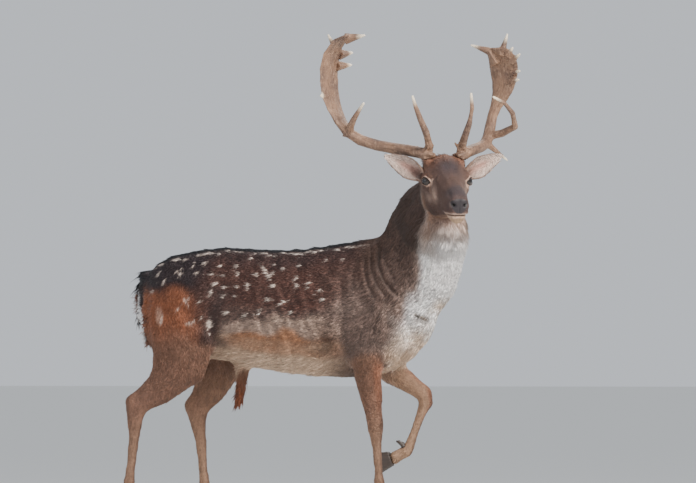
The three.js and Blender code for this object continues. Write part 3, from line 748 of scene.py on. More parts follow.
# Rows of white spots along each side: (drop below the line of the back, x of the first and the last,
# step between spots, half length, how often one is missing).
SPOT_ROWS = [
    (0.019, -0.405, 0.3, 0.023, 0.0085, 0.14), (0.05, -0.405, 0.2025, 0.043, 0.007, 0.2),
    (0.082, -0.405, 0.1945, 0.047, 0.0078, 0.2), (0.116, -0.3, 0.186, 0.043, 0.0085, 0.2),
    (0.15, -0.255, 0.1775, 0.042, 0.0085, 0.2), (0.183, -0.255, 0.16925, 0.046, 0.0078, 0.2),
]
DASH_WIDTH = 0.0026
# Single spots: (x, z, half length, half width, slant in the side view).
THIGH_SPOTS = [
    (-0.2, 0.596, 0.015, 0.009, 1.2), (-0.262, 0.602, 0.014, 0.005, 0.3),
    (-0.275, 0.668, 0.013, 0.004, -0.9), (-0.3, 0.645, 0.01, 0.004, 0.9),
    (-0.352, 0.612, 0.018, 0.0035, 1.4),
]
FORKED_MARK = [(-0.026, 0.748, 0.028, 0.0042, -0.95), (-0.006, 0.746, 0.01, 0.0036, 0.9)]


def spot_places():
    """The white spots as (side, x, z, half length, half width, slant in the side view)."""
    rng = np.random.default_rng(11)
    spots = []
    for side in SIDES.values():
        for drop, start, end, gap, size, missing in SPOT_ROWS:
            dashed = drop == SPOT_ROWS[0][0]
            x = start + rng.uniform(0, gap)
            while x < end:
                z = np.interp(x, *BACK_TOP.T) - drop + rng.normal(0, 0.002 if dashed else 0.01)
                slant = rng.normal(0.12, 0.1) if dashed else rng.normal(0.75, 0.6)
                long = size * rng.uniform(0.55, 1.15)
                wide = DASH_WIDTH if dashed else size * rng.uniform(0.4, 0.6)
                if rng.uniform() > missing:
                    spots.append((side, x + 0.006, z, long, wide, slant))
                x += gap * rng.uniform(0.7, 1.3)
        spots += [(side, *spot) for spot in THIGH_SPOTS]
    return spots + [(SIDES["right"], *spot) for spot in FORKED_MARK]


SPOTS = spot_places()
SPOT_REACH = 0.045


def spotted(points):
    """How white the spots make each point, 0 to 1."""
    x, y, z = points.T
    white = np.zeros(len(points))
    fuzz = 1 + 0.35 * ripple(points, 0.006, 31)
    for side, at_x, at_z, long, wide, slant in SPOTS:
        near = (np.abs(x - at_x) < SPOT_REACH) & (np.abs(z - at_z) < SPOT_REACH) & (y * side > 0.004)
        dx, dz = x[near] - at_x, z[near] - at_z
        u = dx * math.cos(slant) + dz * math.sin(slant)
        v = -dx * math.sin(slant) + dz * math.cos(slant)
        far = np.hypot(u / long, v / wide) * fuzz[near]
        white[near] = np.maximum(white[near], ramp(far, 1.2, 0.6) * 0.92)
    return white


def trunk_colour(points, outward):
    x, y, z = points.T
    side = np.abs(y)
    xx = x + 0.012 * ripple(points, 0.07, 21)
    zz = z + 0.009 * ripple(points, 0.06, 22)
    top = np.interp(x, *BACK_TOP.T)
    flank = ramp(xx, -0.175, -0.125)
    tan_edge = zz + 0.05 * ramp(x, 0, 0.3)
    chest = ramp(neck_angle(points)[0] + 0.08 * ripple(points, 0.05, 24), 1.2, 0.85)
    haunch = ramp(xx, -0.205, -0.285)
    before_thigh = bump(xx, -0.183 - 0.15 * (0.62 - zz), 0.036) * ramp(zz, 0.72, 0.69)
    streaks = ramp(ripple(points * (1, 1, 0.5), 0.03, 23), 0.7, 1.7) * ramp(zz, 0.7, 0.66)
    # Behind, the haunches' white patch, with a black line along its upper edge.
    behind = ramp(outward[:, 0], -0.2, -0.6) * ramp(x, -0.36, -0.385)
    patch = np.interp(z, [0.5, 0.54, 0.6, 0.66, 0.72], [0.062, 0.094, 0.084, 0.046, 0.03])
    edge = side - patch - 0.006 * ripple(points, 0.03, 29)
    border = ramp(edge, 0.03, 0.018) * ramp(z, 0.585, 0.625) * ramp(z, 0.77, 0.74)
    stripe = ramp(side, 0.029, 0.016) * ramp(outward[:, 2], 0.25, 0.55) * ramp(x, 0.42, 0.36)
    return painted(np.tile(CHESTNUT, (len(points), 1)), [
        (DARK_BACK, ramp(zz - top, -0.1, -0.01) * 0.8),
        (SHOULDER, ramp(xx, 0.13, 0.26) * ramp(zz, 0.82, 0.69)),
        (SHOULDER_LOW, ramp(xx, 0.12, 0.22) * ramp(zz, 0.69, 0.61)),
        (SHOULDER, flank * ramp(zz, 0.655, 0.615) * 0.8),
        (GREY_BAND, flank * ramp(zz, 0.622, 0.603) * ramp(xx, 0.24, 0.12)),
        (TAN, flank * ramp(tan_edge, 0.583, 0.558) * ramp(xx, 0.26, 0.14)),
        (ELBOW, blob(np.stack([xx, zz], 1), (0.158, 0.532), (0.044, 0.034))),
        (CREAM, ramp(zz, 0.505, 0.478) * ramp(x, -0.22, -0.12)),
        (mix(CREAM, WHITE, 0.4 + 0.6 * ramp(z, 0.54, 0.64)), chest * ramp(x, 0.33, 0.39)),
        (CREAM, ramp(outward[:, 2], -0.35, -0.75) * ramp(x, -0.3, -0.2) * 0.85),
        (RUMP_DARK, ramp(xx, -0.17, -0.27) * ramp(zz, 0.655, 0.705)),
        (RUFOUS, haunch * ramp(zz, 0.722, 0.672) * 0.92),
        (THIGH_BROWN, haunch * ramp(zz, 0.61, 0.535) * 0.85),
        (BAND_DARK, before_thigh * ramp(zz, 0.5, 0.545) * 0.9),
        (PALE_FACE, streaks * haunch * 0.45),
        (STRIPE_BLACK, behind * border * 0.92),
        (WHITE, behind * ramp(edge, 0.006, -0.008) * ramp(z, 0.72, 0.7) * ramp(z, 0.5, 0.53)),
        (SPOT, spotted(points) * (1 - 0.5 * haunch * ramp(zz, 0.72, 0.66))),
        (STRIPE_BLACK, stripe),
    ])


def neck_colour(points, _):
    angle, down = neck_angle(points)
    angle = angle + 0.1 * ripple(points, 0.05, 24)
    edge = angle - np.radians(np.interp(down, [0, 0.2, 0.4, 0.55, 0.8, 1], [52, 58, 66, 69, 68, 62]))
    front = ramp(edge, 0.16, -0.16)
    return painted(np.tile(NECK_DARK, (len(points), 1)), [
        (NAPE, ramp(angle, math.radians(105), math.radians(150))),
        (SHOULDER, ramp(down, 0.6, 0.75) * ramp(angle, 2.6, 2) * 0.8),
        (SHOULDER_LOW, ramp(edge, 0.4, 0) * ramp(down, 0.4, 0.62)),
        (WHITE, front),
        (GREY_BAND, front * ramp(edge, -0.9, -0.1) * ramp(down, 0.62, 0.35) * 0.8),
        (THROAT_TAN, front * ramp(down, 0.46, 0.22)),
        (CREAM, front * ramp(down, 0.86, 0.96)),
    ])


def leg_colour(points, outward, part):
    y, z = points[:, 1:].T
    outer = np.sign(y) * outward[:, 1]
    ahead = outward[:, 0]
    if part[0] == "h":
        layers = [
            (RUFOUS, ramp(z, 0.56, 0.64) * ramp(outer, -0.2, 0.3)),
            (THIGH_BROWN, ramp(z, 0.6, 0.5) * 0.8),
            (LEG_PALE, ramp(outer, 0.1, -0.5) * 0.2),
            # painted shade: the inner face of each hind leg is darkened with CHEEK_DARK
            (CHEEK_DARK, ramp(outer, 0, -0.6) * ramp(z, 0.4, 0.5) * 0.6),
            (LEG_PALE, ramp(z, 0.36, 0.2) * 0.35),
        ]
    else:
        layers = [
            (LEG_PALE, ramp(outer, 0.1, -0.5) * 0.55),
            (LEG_PALE, ramp(z, 0.36, 0.2) * 0.35),
            (RUST, ramp(ahead, 0.25, 0.8) * ramp(z, 0.28, 0.38) * 0.7),
        ]
    layers.append((CHEEK_DARK, ramp(ahead, 0.55, 0.95) * ramp(z, 0.42, 0.34) * 0.55))
    layers.append((CHEEK_DARK, ramp(z, 0.075, 0.045) * 0.5))
    return painted(np.tile(LEG_BROWN, (len(points), 1)), layers)


def head_colour(points, outward):
    spot = head_frame(points)
    both = mirrored(spot)
    x, side, z = both.T
    warp = 0.004 * ripple(points, 0.02, 25)
    above = z - mouth_height(x)
    layers = [
        (RUST, blob(both, (-0.045, 0.034, 0.066), (0.048, 0.042, 0.042)) * 0.85),
        (RUST, blob(both, (-0.04, 0, 0.078), (0.036, 0.03, 0.026)) * 0.7),
        (RUST, ramp(side, 0.052, 0.066) * ramp(x, 0.05, -0.02) * ramp(z, -0.03, 0.01) * 0.4),
        (FOREHEAD, blob(both, (0.03, 0.01, 0.05), (0.05, 0.028, 0.032))),
        (CHEEK_DARK, blob(both, (0.018, 0.05, 0.03), (0.024, 0.014, 0.009)) * 0.9),
        (CHEEK_DARK, ramp(z + warp, -0.045, -0.07) * ramp(x, -0.09, -0.03)),
        (MUZZLE_DARK, ramp(x + warp, 0.095, 0.135) * ramp(z, -0.045, -0.015) * 0.9),
        (MUZZLE_DARK, blob(both, (0.172, 0.012, -0.052), (0.03, 0.026, 0.022)) * 0.85),
        (FACE, blob(both, (0.11, 0.036, -0.045), (0.035, 0.02, 0.02)) * 0.6),
        (PALE_FACE, blob(both, (0.042, 0.052, -0.04), (0.014, 0.016, 0.026)) * 0.75),
        (PALE_FACE, blob(both, (0.01, 0.06, -0.052), (0.016, 0.016, 0.014)) * 0.5),
        (PALE_FACE, ramp(x, 0.1, 0.12) * bump(above, 0.005, 0.003) * 0.75),
        (CHIN, ramp(x, 0.085, 0.11) * ramp(above, 0.001, -0.004)),
        (EYE_RING, ramp(x, 0.12, 0.14) * bump(above, -0.005, 0.004) * 0.7),
        (THROAT_TAN, ramp(outward[:, 2], -0.8, -0.97) * ramp(x, 0.11, 0.07) * 0.6),
        (MOUTH_DARK, ramp(x, 0.088, 0.104) * bump(above, 0, 0.0017) * 0.8),
        (MOUTH_DARK, blob(both, (0.128, 0.026, -0.104), (0.016, 0.01, 0.01)) * 0.7),
    ]
    reach = 1.52 + 0.16 * ripple(points, 0.012, 27)
    for side_sign in SIDES.values():
        _, distance, opening = eye_place(spot, side_sign)
        close = ramp(distance, 0.034, 0.027)
        layers.append((EYE_RING, close * ramp(opening - reach, 0.14, -0.12) * 0.85))
        layers.append((MOUTH_DARK, close * ramp(opening, 1.28, 1.14)))
    layers.append((NOSE_BLACK, nose_pad(spot)))
    # The nostril hollows are painted near black: painted shade inside the openings.
    nostril = blob(both, (0.176, 0.0185, -0.052), (0.016, 0.0078, 0.0056))
    layers.append((NOSTRIL_SHADE, ramp(nostril, 0.35, 0.75)))
    return painted(np.tile(FACE, (len(points), 1)), layers)


NOSE_HEIGHTS = [-0.077, -0.072, -0.064, -0.056, -0.048, -0.04, -0.034]
NOSE_WIDTHS = [0.009, 0.0145, 0.02, 0.0242, 0.0265, 0.0255, 0.018]


def nose_pad(spot):
    """How far each point is on the bare nose, 0 to 1, in the head's frame."""
    x, side, z = mirrored(spot).T
    upper = -0.0325 - 0.012 * (side / 0.03) ** 2
    pad = ramp(side - np.interp(z, NOSE_HEIGHTS, NOSE_WIDTHS), 0.0025, -0.002)
    return pad * ramp(z - upper, 0.002, -0.0015) * ramp(x, 0.14, 0.15) * ramp(z, -0.08, -0.077)


def ear_colour(ear, points, outward):
    hollow, across, along = inside_ear(ear, points, outward)
    out = np.abs(across)
    pink = bump(across, 0, 0.42) * ramp(along, 0.1, 0.25) * ramp(along, 0.85, 0.55)
    streak = ramp(ripple(points, 0.01, 28), 0.2, 1.4)
    inner = painted(np.tile(EAR_PALE, (len(points), 1)), [
        (EAR_PINK, pink * 0.75),
        (EAR_BACK, ramp(out, 0.9, 1) * 0.6),
        (EAR_BACK, ramp(along, 0.45, 0.15) * bump(across, 0, 0.5) * 0.85),
        (EAR_BACK, streak * 0.35 * ramp(out, 0.9, 0.5)),
    ])
    return np.where(hollow[:, None], inner, mix(EAR_BACK, PALE_FACE, bump(out, 0.9, 0.2) * 0.4))


def tail_colour(points, outward):
    edge = ramp(np.abs(points[:, 1]), 0.011, 0.017) * ramp(outward[:, 0], 0.15, -0.25)
    edge *= ramp(points[:, 2], 0.735, 0.7)
    under = ramp(outward[:, 0], 0.75, 0.95)
    return mix(TAIL_BLACK, WHITE, np.maximum(edge, under) * 0.92)


def sheath_colour(points, _):
    return mix(LEG_BROWN, SHEATH_BRUSH, ramp(points[:, 2], 0.46, 0.4))


PART_COLOURS = {
    "trunk": trunk_colour, "neck": neck_colour, "head": head_colour, "tail": tail_colour,
    "sheath": sheath_colour,
}
LEG_TOPS = {"h": (0.575, 0.505), "f": (0.545, 0.475)}  # the heights between which trunk turns to leg


def fold_shade(points, outward):
    """How much light the folds of the neck and the crease of the chest leave, 0 to 1."""
    near = ramp(outward @ TOWARDS, 0.05, 0.4)
    dark = 0.75 * groove(points, CHEST_CREASE, 0.011, CREASE_FADE)
    for line, width, depth in NECK_FOLDS:
        dark = np.maximum(dark, FOLD_DARK * depth * groove(points, line, width * 0.8, FOLD_FADE))
    return 1 - near * dark


def coat_colour(points, outward):
    """The colour of the coat at points in the buck's frame."""
    shares = bone_shares(points)
    by_part = {part: shares[:, BONE_PARTS == part].sum(1) for part in sorted(set(BONE_PARTS))}
    for part in LEGS:
        low = ramp(points[:, 2], *LEG_TOPS[part[0]])
        by_part["trunk"] = by_part["trunk"] + by_part[part] * (1 - low)
        by_part[part] = by_part[part] * low
    hue = np.zeros((len(points), 3))
    for part, share in by_part.items():
        wanted = np.flatnonzero(share > 0.02)
        here, out = points[wanted], outward[wanted]
        colour = leg_colour(here, out, part) if part in LEGS else PART_COLOURS[part](here, out)
        hue[wanted] += colour * (share[wanted] ** 2)[:, None]
    total = sum(share**2 for share in by_part.values())
    return hue * (fold_shade(points, outward) / np.maximum(total, 1e-6))[:, None]


def grizzle(points):
    """How mixed the coat is of dark and pale hairs, 0 to 1."""
    x, _, z = points.T
    angle, down = neck_angle(points)
    flank = ramp(x, 0.02, 0.2) * ramp(z, 0.78, 0.66) * ramp(z, 0.5, 0.58)
    low = ramp(z, 0.68, 0.64) * ramp(z, 0.585, 0.61) * ramp(x, -0.2, -0.1)
    neck = ramp(x, 0.3, 0.36) * ramp(down, 0.35, 0.6) * ramp(angle, 0.7, 1)
    return np.clip(0.22 + 0.75 * np.max([flank, low, neck], axis=0), 0, 1)


def set_colour(mesh, colours):
    layer = mesh.color_attributes.new("coat_colour", "FLOAT_COLOR", "POINT")
    layer.data.foreach_set("color", np.concatenate([colours, np.ones((len(colours), 1))], 1).ravel())


def set_number(mesh, name, values):
    mesh.attributes.new(name, "FLOAT", "POINT").data.foreach_set("value", np.asarray(values, float))


# ---- Shader maths ----


class Socket:
    """A node's output, on which sums and products make Math nodes."""

    def __init__(self, finish, output):
        self.finish, self.output = finish, output

    def math(self, operation, first, second):
        return self.finish.node("ShaderNodeMath", {"operation": operation}, {0: first, 1: second})

    def __add__(self, other):
        return self.math("ADD", self, other)

    def __radd__(self, other):
        return self.math("ADD", other, self)

    def __sub__(self, other):
        return self.math("SUBTRACT", self, other)

    def __rsub__(self, other):
        return self.math("SUBTRACT", other, self)

    def __mul__(self, other):
        return self.math("MULTIPLY", self, other)

    def __rmul__(self, other):
        return self.math("MULTIPLY", other, self)


class Finish:
    """A material: its nodes, and the shader that they feed."""

    def __init__(self, name, **constants):
        self.material = bpy.data.materials.new(name)
        self.material.use_nodes = True
        self.tree = self.material.node_tree
        self.shader = self.tree.nodes["Principled BSDF"]
        self.feed(**constants)

    def set(self, node, values):
        for key, value in values.items():
            if isinstance(value, Socket):
                self.tree.links.new(value.output, node.inputs[key])
            else:
                node.inputs[key].default_value = value

    def node(self, kind, settings, values, output=0):
        made = self.tree.nodes.new(kind)
        for key, value in settings.items():
            setattr(made, key, value)
        self.set(made, values)
        return Socket(self, made.outputs[output])

    def attribute(self, name, output="Fac"):
        return self.node("ShaderNodeAttribute", {"attribute_name": name}, {}, output)

    def place(self, scale=(1, 1, 1)):
        spot = self.node("ShaderNodeTexCoord", {}, {}, "Object")
        return self.node("ShaderNodeMapping", {}, {"Vector": spot, "Scale": scale})

    def noise(self, scale, detail, stretch=(1, 1, 1)):
        values = {"Vector": self.place(stretch), "Scale": scale, "Detail": detail, "Roughness": 0.55}
        return self.node("ShaderNodeTexNoise", {}, values, "Fac")

    def cells(self, scale):
        values = {"Vector": self.place(), "Scale": scale}
        return self.node("ShaderNodeTexVoronoi", {"feature": "DISTANCE_TO_EDGE"}, values, "Distance")

    def between(self, value, low, high):
        values = {"Value": value, "From Min": low, "From Max": high}
        return self.node("ShaderNodeMapRange", {}, values, "Result")

    def blend(self, share, first, second, how="MIX"):
        settings = {"data_type": "RGBA", "blend_type": how, "clamp_factor": True}
        colours = [c if isinstance(c, Socket) else (*paint(*c).tolist(), 1) for c in (first, second)]
        return self.node("ShaderNodeMix", settings, {0: share, 6: colours[0], 7: colours[1]}, 2)

    def shaded_coat(self, shade):
        """The coat's colour under a number that darkens or lightens it."""
        grey = self.node("ShaderNodeCombineColor", {}, {0: shade, 1: shade, 2: shade})
        return self.blend(1.0, self.attribute("coat_colour", "Color"), grey, "MULTIPLY")

    def feed(self, bump=None, depth=0.001, **links):
        self.set(self.shader, {key.replace("_", " "): value for key, value in links.items()})
        if bump is not None:
            values = {"Height": bump, "Distance": depth, "Strength": 1.0}
            self.set(self.shader, {"Normal": self.node("ShaderNodeBump", {}, values, "Normal")})


def skin_finish():
    finish = Finish("skin under the coat", Specular_IOR_Level=0.35)
    fine = finish.noise(330, 4)
    wide = finish.noise(60, 3)
    base = finish.shaded_coat(0.7 + 0.36 * fine + 0.18 * wide)
    bare = finish.attribute("bare")
    pores = finish.between(finish.cells(420), 0, 0.12)
    height = fine * (1 - bare) + 0.08 * pores * bare
    finish.feed(Base_Color=base, Roughness=0.72 - 0.3 * bare, bump=height)
    return finish.material


def coat_finish():
    finish = Finish("coat", Specular_IOR_Level=0.3, Roughness=0.62, Sheen_Weight=0.06)
    finish.feed(Base_Color=finish.shaded_coat(0.84 + 0.32 * finish.noise(420, 2)))
    return finish.material


def antler_finish():
    finish = Finish("rubbed bone", Specular_IOR_Level=0.45)
    grain = finish.noise(130, 5, (1, 1, 0.6))
    patch = finish.noise(18, 3)
    tip = finish.attribute("tip")
    bark = finish.blend(finish.between(patch, 0.3, 0.7), (88, 68, 60), (138, 106, 84))
    worn = finish.blend(finish.between(grain, 0.5, 0.8), bark, (160, 130, 108))
    deep = finish.blend(finish.attribute("hollow"), worn, (62, 44, 34))
    pale = finish.blend(tip, deep, (222, 208, 186))
    finish.feed(Base_Color=pale, Roughness=0.62 - 0.22 * tip + 0.1 * grain, bump=grain, depth=0.0012)
    return finish.material


def horn_finish():
    finish = Finish("hoof horn", Specular_IOR_Level=0.45)
    growth = finish.noise(70, 4, (0.35, 0.35, 3))
    base = finish.blend(growth, (26, 22, 21), (66, 54, 48))
    finish.feed(Base_Color=base, Roughness=0.35 + 0.25 * growth, bump=growth)
    return finish.material


def eye_finish():
    finish = Finish("eye", Specular_IOR_Level=0.35, Roughness=0.1, Coat_Weight=0.35, Coat_Roughness=0.03)
    iris = finish.blend(finish.noise(520, 3), (16, 10, 9), (38, 25, 19))
    inner = finish.blend(finish.attribute("pupil"), iris, (8, 8, 14))
    finish.feed(Base_Color=finish.blend(finish.attribute("rim"), inner, (22, 15, 13)))
    return finish.material


SKIN_FINISH = skin_finish()
COAT_FINISH = coat_finish()
ANTLER_FINISH = antler_finish()
HORN_FINISH = horn_finish()
EYE_FINISH = eye_finish()


def finish_piece(piece, material):
    piece.data.materials.clear()
    piece.data.materials.append(material)
    piece.data.polygons.foreach_set("use_smooth", np.ones(len(piece.data.polygons), dtype=bool))


# ---- Antlers ----
# Lines down each beam and tine, in the antlers' frame in millimetres, each ending at its tip.

ANTLER_LINES = {
    "right": [
        [[-35, -59, 80], [-92, -122, 94], [-152, -213, 110], [-176, -300, 150], [-189, -339, 218],
         [-188, -357, 312], [-158, -346, 394], [-136, -322, 428], [-120, -292, 441]],
        [[-42, -62, 84], [-20, -53, 112], [24, -74, 168], [50, -94, 217], [60, -106, 257]],
        [[-172, -296, 140], [-150, -293, 162], [-118, -278, 194], [-88, -251, 237]],
        [[-164, -334, 396], [-134, -360, 444]],
        [[-196, -326, 384], [-226, -284, 390]],
        [[-202, -334, 350], [-234, -287, 353]],
        [[-134, -308, 430], [-106, -247, 441]],
        [[-166, -362, 258], [-142, -384, 259]],
    ],
    "left": [
        [[-58, 41, 80], [-116, 74, 94], [-208, 110, 109], [-251, 128, 145], [-263, 138, 198],
         [-262, 158, 250], [-250, 171, 302], [-228, 170, 363], [-204, 156, 404]],
        [[-62, 42, 84], [-40, 46, 114], [4, 60, 154], [32, 74, 208], [40, 71, 266]],
        [[-250, 124, 138], [-226, 166, 146], [-186, 206, 166], [-148, 198, 206], [-118, 174, 236],
         [-100, 137, 256]],
        [[-236, 152, 356], [-238, 132, 394], [-264, 72, 414]],
        [[-212, 164, 382], [-198, 183, 447]],
        [[-196, 184, 380], [-170, 199, 406]],
        [[-198, 194, 362], [-162, 221, 386]],
        [[-212, 198, 330], [-176, 221, 334]],
        [[-222, 194, 304], [-188, 218, 308]],
        [[-232, 126, 112], [-272, 184, 64]],
    ],
}
ANTLER_VOXEL = 0.0019
PALE_TIP = 0.04
TIP_ROUND = 0.006


def build_antler(name):
    nodes = [node for node in ANTLERS if name in node]
    mesh = remeshed(nodes, ANTLER_VOXEL)
    bone = Surface(mesh)
    bone.smooth(9, 0.5)
    place = body_frame(bone.points)
    best = np.full(len(place), FAR)
    wave = np.zeros(len(place))
    tip = np.zeros(len(place))
    lines = [from_antler(np.array(line) / 1000) for line in ANTLER_LINES[name]]
    # Lengthwise furrows wander round the nearest line, and the tines' tips are rubbed pale.
    for number, line in enumerate(lines):
        for start, end in zip(line[:-1], line[1:]):
            step = Bone("antler", start, end)
            away = step.distance(place)
            turn = step.round(place) * 2 * math.pi
            furrows = np.sin(turn * 7 + 2.2 * np.sin((place @ step.way) * 70))
            furrows += 0.6 * np.sin(turn * 13 + 1)
            wave = np.where(away < best, furrows, wave)
            best = np.minimum(best, away)
        if number:
            pale = min(PALE_TIP, 0.5 * extent(line[-1] - line[0]))
            tip = np.maximum(tip, ramp(extent(place - line[-1]), pale, TIP_ROUND))
    from_burr = extent(place - lines[0][0])
    low = ramp(from_burr, 0.16, 0.03)
    rough = ramp(tip, 0.8, 0.1)
    amount = low * 0.0011 * ramp(ripple(place, 0.0065, 41), 0.6, 1.6)
    amount += ramp(from_burr, 0.034, 0.024) * 0.002 * ripple(place, 0.008, 42)
    bone.push(amount - 0.00055 * ramp(wave, 0, 1.4) * rough)
    bone.smooth(1, 0.25)
    bone.done()
    hollow = ramp(wave, 0.5, 1.5) * 0.35 * rough
    hollow += low * 0.45 * ramp(ripple(place, 0.01, 43), 0.2, -1)
    set_number(mesh, "hollow", np.clip(hollow, 0, 1))
    set_number(mesh, "tip", tip)
    antler = new_object(f"antler_{name}", mesh)
    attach(antler, "root")
    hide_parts(*nodes)
    finish_piece(antler, ANTLER_FINISH)


# ---- Eyes ----


def build_eye(name, side):
    centre = from_body(from_head([-EYE_BACK, side * EYE_SIDE, 0]))
    looks = EYE_LOOK * (1, side, 1)
    shape = bmesh.new()
    bmesh.ops.create_uvsphere(shape, u_segments=64, v_segments=40, radius=EYE_RADIUS - 0.0002)
    turn = Vector((0, 0, 1)).rotation_difference(Vector(looks @ HEAD_AXES.T))
    bmesh.ops.rotate(shape, verts=shape.verts, cent=(0, 0, 0), matrix=turn.to_matrix())
    bmesh.ops.translate(shape, verts=shape.verts, vec=Vector(centre))
    bmesh.ops.recalc_face_normals(shape, faces=shape.faces)
    mesh = as_mesh(shape, f"eyeball_{name}")
    rest = (np.array([vertex.co for vertex in mesh.vertices]) - centre) @ HEAD_AXES / EYE_RADIUS
    out = rest @ looks
    along = rest @ (EYE_CORNER * (1, side, 1))
    up = rest[:, 2]
    set_number(mesh, "pupil", ramp(np.hypot(along / 1.45, up), 0.27, 0.2) * (out > 0))
    set_number(mesh, "rim", ramp(np.hypot(along, up), 0.6, 0.7) + (out < 0))
    eye = new_object(f"eyeball_{name}", mesh)
    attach(eye, "root")
    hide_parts(f"eye_{name}")
    finish_piece(eye, EYE_FINISH)


# ---- Hooves ----

HOOF_VOXEL = 0.0012
HOOF_RING = 0.0065
HOOF_RING_DEPTH = 0.0002


def build_hooves(leg):
    nodes = [node for node in HOOVES if node.startswith(leg)]
    mesh = remeshed(nodes, HOOF_VOXEL, 0)
    horn = Surface(mesh)
    horn.smooth(18, 0.5)
    rings = np.sin(body_frame(horn.points)[:, 2] * 2 * math.pi / HOOF_RING)
    horn.push(HOOF_RING_DEPTH * (rings - 1))
    boxes = np.array([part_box(node) for node in nodes])
    horn.points = np.clip(horn.points, boxes[:, 0].min(0), boxes[:, 1].max(0))
    horn.done()
    hoof = new_object(f"hooves_{leg}", mesh)
    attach(hoof, "root")
    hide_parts(*nodes)
    finish_piece(hoof, HORN_FINISH)


# ---- The coat ----


class Tufts:
    """Places on a surface where tufts stand, and how each one lies."""

    def __init__(self, points, triangles, density, seed):
        """density is tufts per square metre for each triangle."""
        rng = np.random.default_rng(seed)
        corner = points[triangles]
        total = np.cumsum(extent(triangle_cross(corner)) / 2 * density)
        count = int(total[-1])
        chosen = np.searchsorted(total, (np.arange(count) + rng.uniform(size=count)) * total[-1] / count)
        chosen = np.minimum(chosen, len(triangles) - 1)
        a, b = rng.uniform(size=(2, count))
        flip = a + b > 1
        a, b = np.where(flip, 1 - a, a), np.where(flip, 1 - b, b)
        weights = np.stack([1 - a - b, a, b], 1)[:, :, None]
        outward = normals(points, triangles)[triangles[chosen]]
        self.root = (corner[chosen] * weights).sum(1)
        self.outward = unit((outward * weights).sum(1))
        self.rng = rng
        self.count = count

    def kept(self, wanted):
        """The wanted ones of these tufts, as a batch of their own."""
        part = Tufts.__new__(Tufts)
        for key, value in vars(self).items():
            setattr(part, key, value[wanted] if isinstance(value, np.ndarray) else value)
        part.count = int(wanted.sum())
        return part

    def vary(self, spread):
        return np.exp(self.rng.normal(0, spread, self.count))

    def measure(self, length, width, lift, spread):
        """Length and width in metres, lift in degrees, each with its own variation."""
        self.length = length * self.vary(spread)
        self.width = width * self.vary(0.12)
        self.lift = np.radians(lift) * self.vary(0.25)

    def tousle(self, share):
        self.way = unit(self.way + share * self.rng.normal(size=(self.count, 3)))


CHART_EDGE = 0.01  # the border that is left free round a chart of 0 to 1


def charts(points):
    """A place from 0 to 1, both ways, for each point on an unwrap of the body round its bones."""
    owner = bone_shares(points).argmax(1)
    present = np.unique(owner)
    widths = np.array([BONES[index].length + 0.02 for index in present])
    edges = np.concatenate([[0], np.cumsum(widths)]) / widths.sum()
    place = np.zeros((len(points), 2))
    for start, end, index in zip(edges[:-1], edges[1:], present):
        own = owner == index
        bone = BONES[index]
        place[own, 0] = start + (end - start) * (0.04 + 0.92 * bone.along(points[own]))
        place[own, 1] = bone.round(points[own])
    return CHART_EDGE + (1 - 2 * CHART_EDGE) * place


PATCH = 0.003  # how much of the chart one tuft takes
# Each shape of tuft: its faces, the shade of each corner, and each corner's place on its patch.
SPIKE = (
    [(0, 1, 2), (0, 3, 1), (1, 3, 2), (2, 3, 0)],
    [0.72, 0.72, 0.98, 1.12],
    [(-0.5, -0.4), (0.5, -0.4), (0, 0), (0, 0.6)],
)
LOCK = (
    [(0, 1, 2), (0, 3, 1), (1, 3, 4), (1, 4, 2), (2, 4, 5), (2, 5, 0), (0, 5, 3),
     (3, 6, 4), (4, 6, 5), (5, 6, 3)],
    [0.7, 0.7, 0.76, 0.98, 0.98, 1, 1.12],
    [(-0.5, -0.4), (0.5, -0.4), (0, -0.2), (-0.4, 0.1), (0.4, 0.1), (0, 0.2), (0, 0.6)],
)
LOCK_BEND = 0.1
LOCK_DROP = np.array([0, 0, -0.06])


def tuft_mesh(name, tufts, long_locks):
    """One mesh of closed spikes, or of longer bent locks, from a batch of tufts."""
    t = tufts
    way = flattened(unit(t.way + 0.2 * t.rng.normal(size=(t.count, 3))), t.outward)
    side = np.cross(t.outward, way)
    rise = np.sin(t.lift)[:, None]
    long = t.length[:, None]
    half = t.width[:, None] / 2
    aim = way * np.cos(t.lift)[:, None] + t.outward * rise
    root = t.root - t.outward * np.minimum(0.0007, 0.03 * long)
    tip = root + aim * long - t.outward * long * rise * 0.45
    rows = [root + side * half, root - side * half]
    if long_locks:
        bend = side * t.rng.normal(0, LOCK_BEND, (t.count, 1)) * long
        mid = root + aim * long * 0.5 + bend
        rows += [root + t.outward * half * 0.8, mid + side * half * 1.1, mid - side * half * 1.1]
        rows += [mid + t.outward * half * 0.7, tip + bend * 1.6 + LOCK_DROP * long]
    else:
        rows += [root + aim * long * 0.3 + t.outward * half * 0.55, tip]
    faces, shade, patch = (np.array(part) for part in (LOCK if long_locks else SPIKE))
    points = np.clip(from_body(np.stack(rows, 1).reshape(-1, 3)), *CAD_BOX)
    corner = (np.arange(t.count)[:, None, None] * len(rows) + faces).reshape(-1)
    mesh = bpy.data.meshes.new(name)
    mesh.vertices.add(len(points))
    mesh.vertices.foreach_set("co", points.ravel())
    mesh.loops.add(len(corner))
    mesh.loops.foreach_set("vertex_index", corner.astype(np.int32))
    mesh.polygons.add(len(corner) // 3)
    mesh.polygons.foreach_set("loop_start", np.arange(0, len(corner), 3, dtype=np.int32))
    mesh.update(calc_edges=True)
    set_colour(mesh, np.clip(t.colour[:, None] * shade[:, None], 0, 1).reshape(-1, 3))
    layer = mesh.uv_layers.new(name="OFBake")
    flat = t.chart[:, None] + patch * PATCH
    layer.data.foreach_set("uv", flat.reshape(-1, 2)[corner].ravel())
    coat = new_object(name, mesh)
    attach(coat, "root")
    finish_piece(coat, COAT_FINISH)


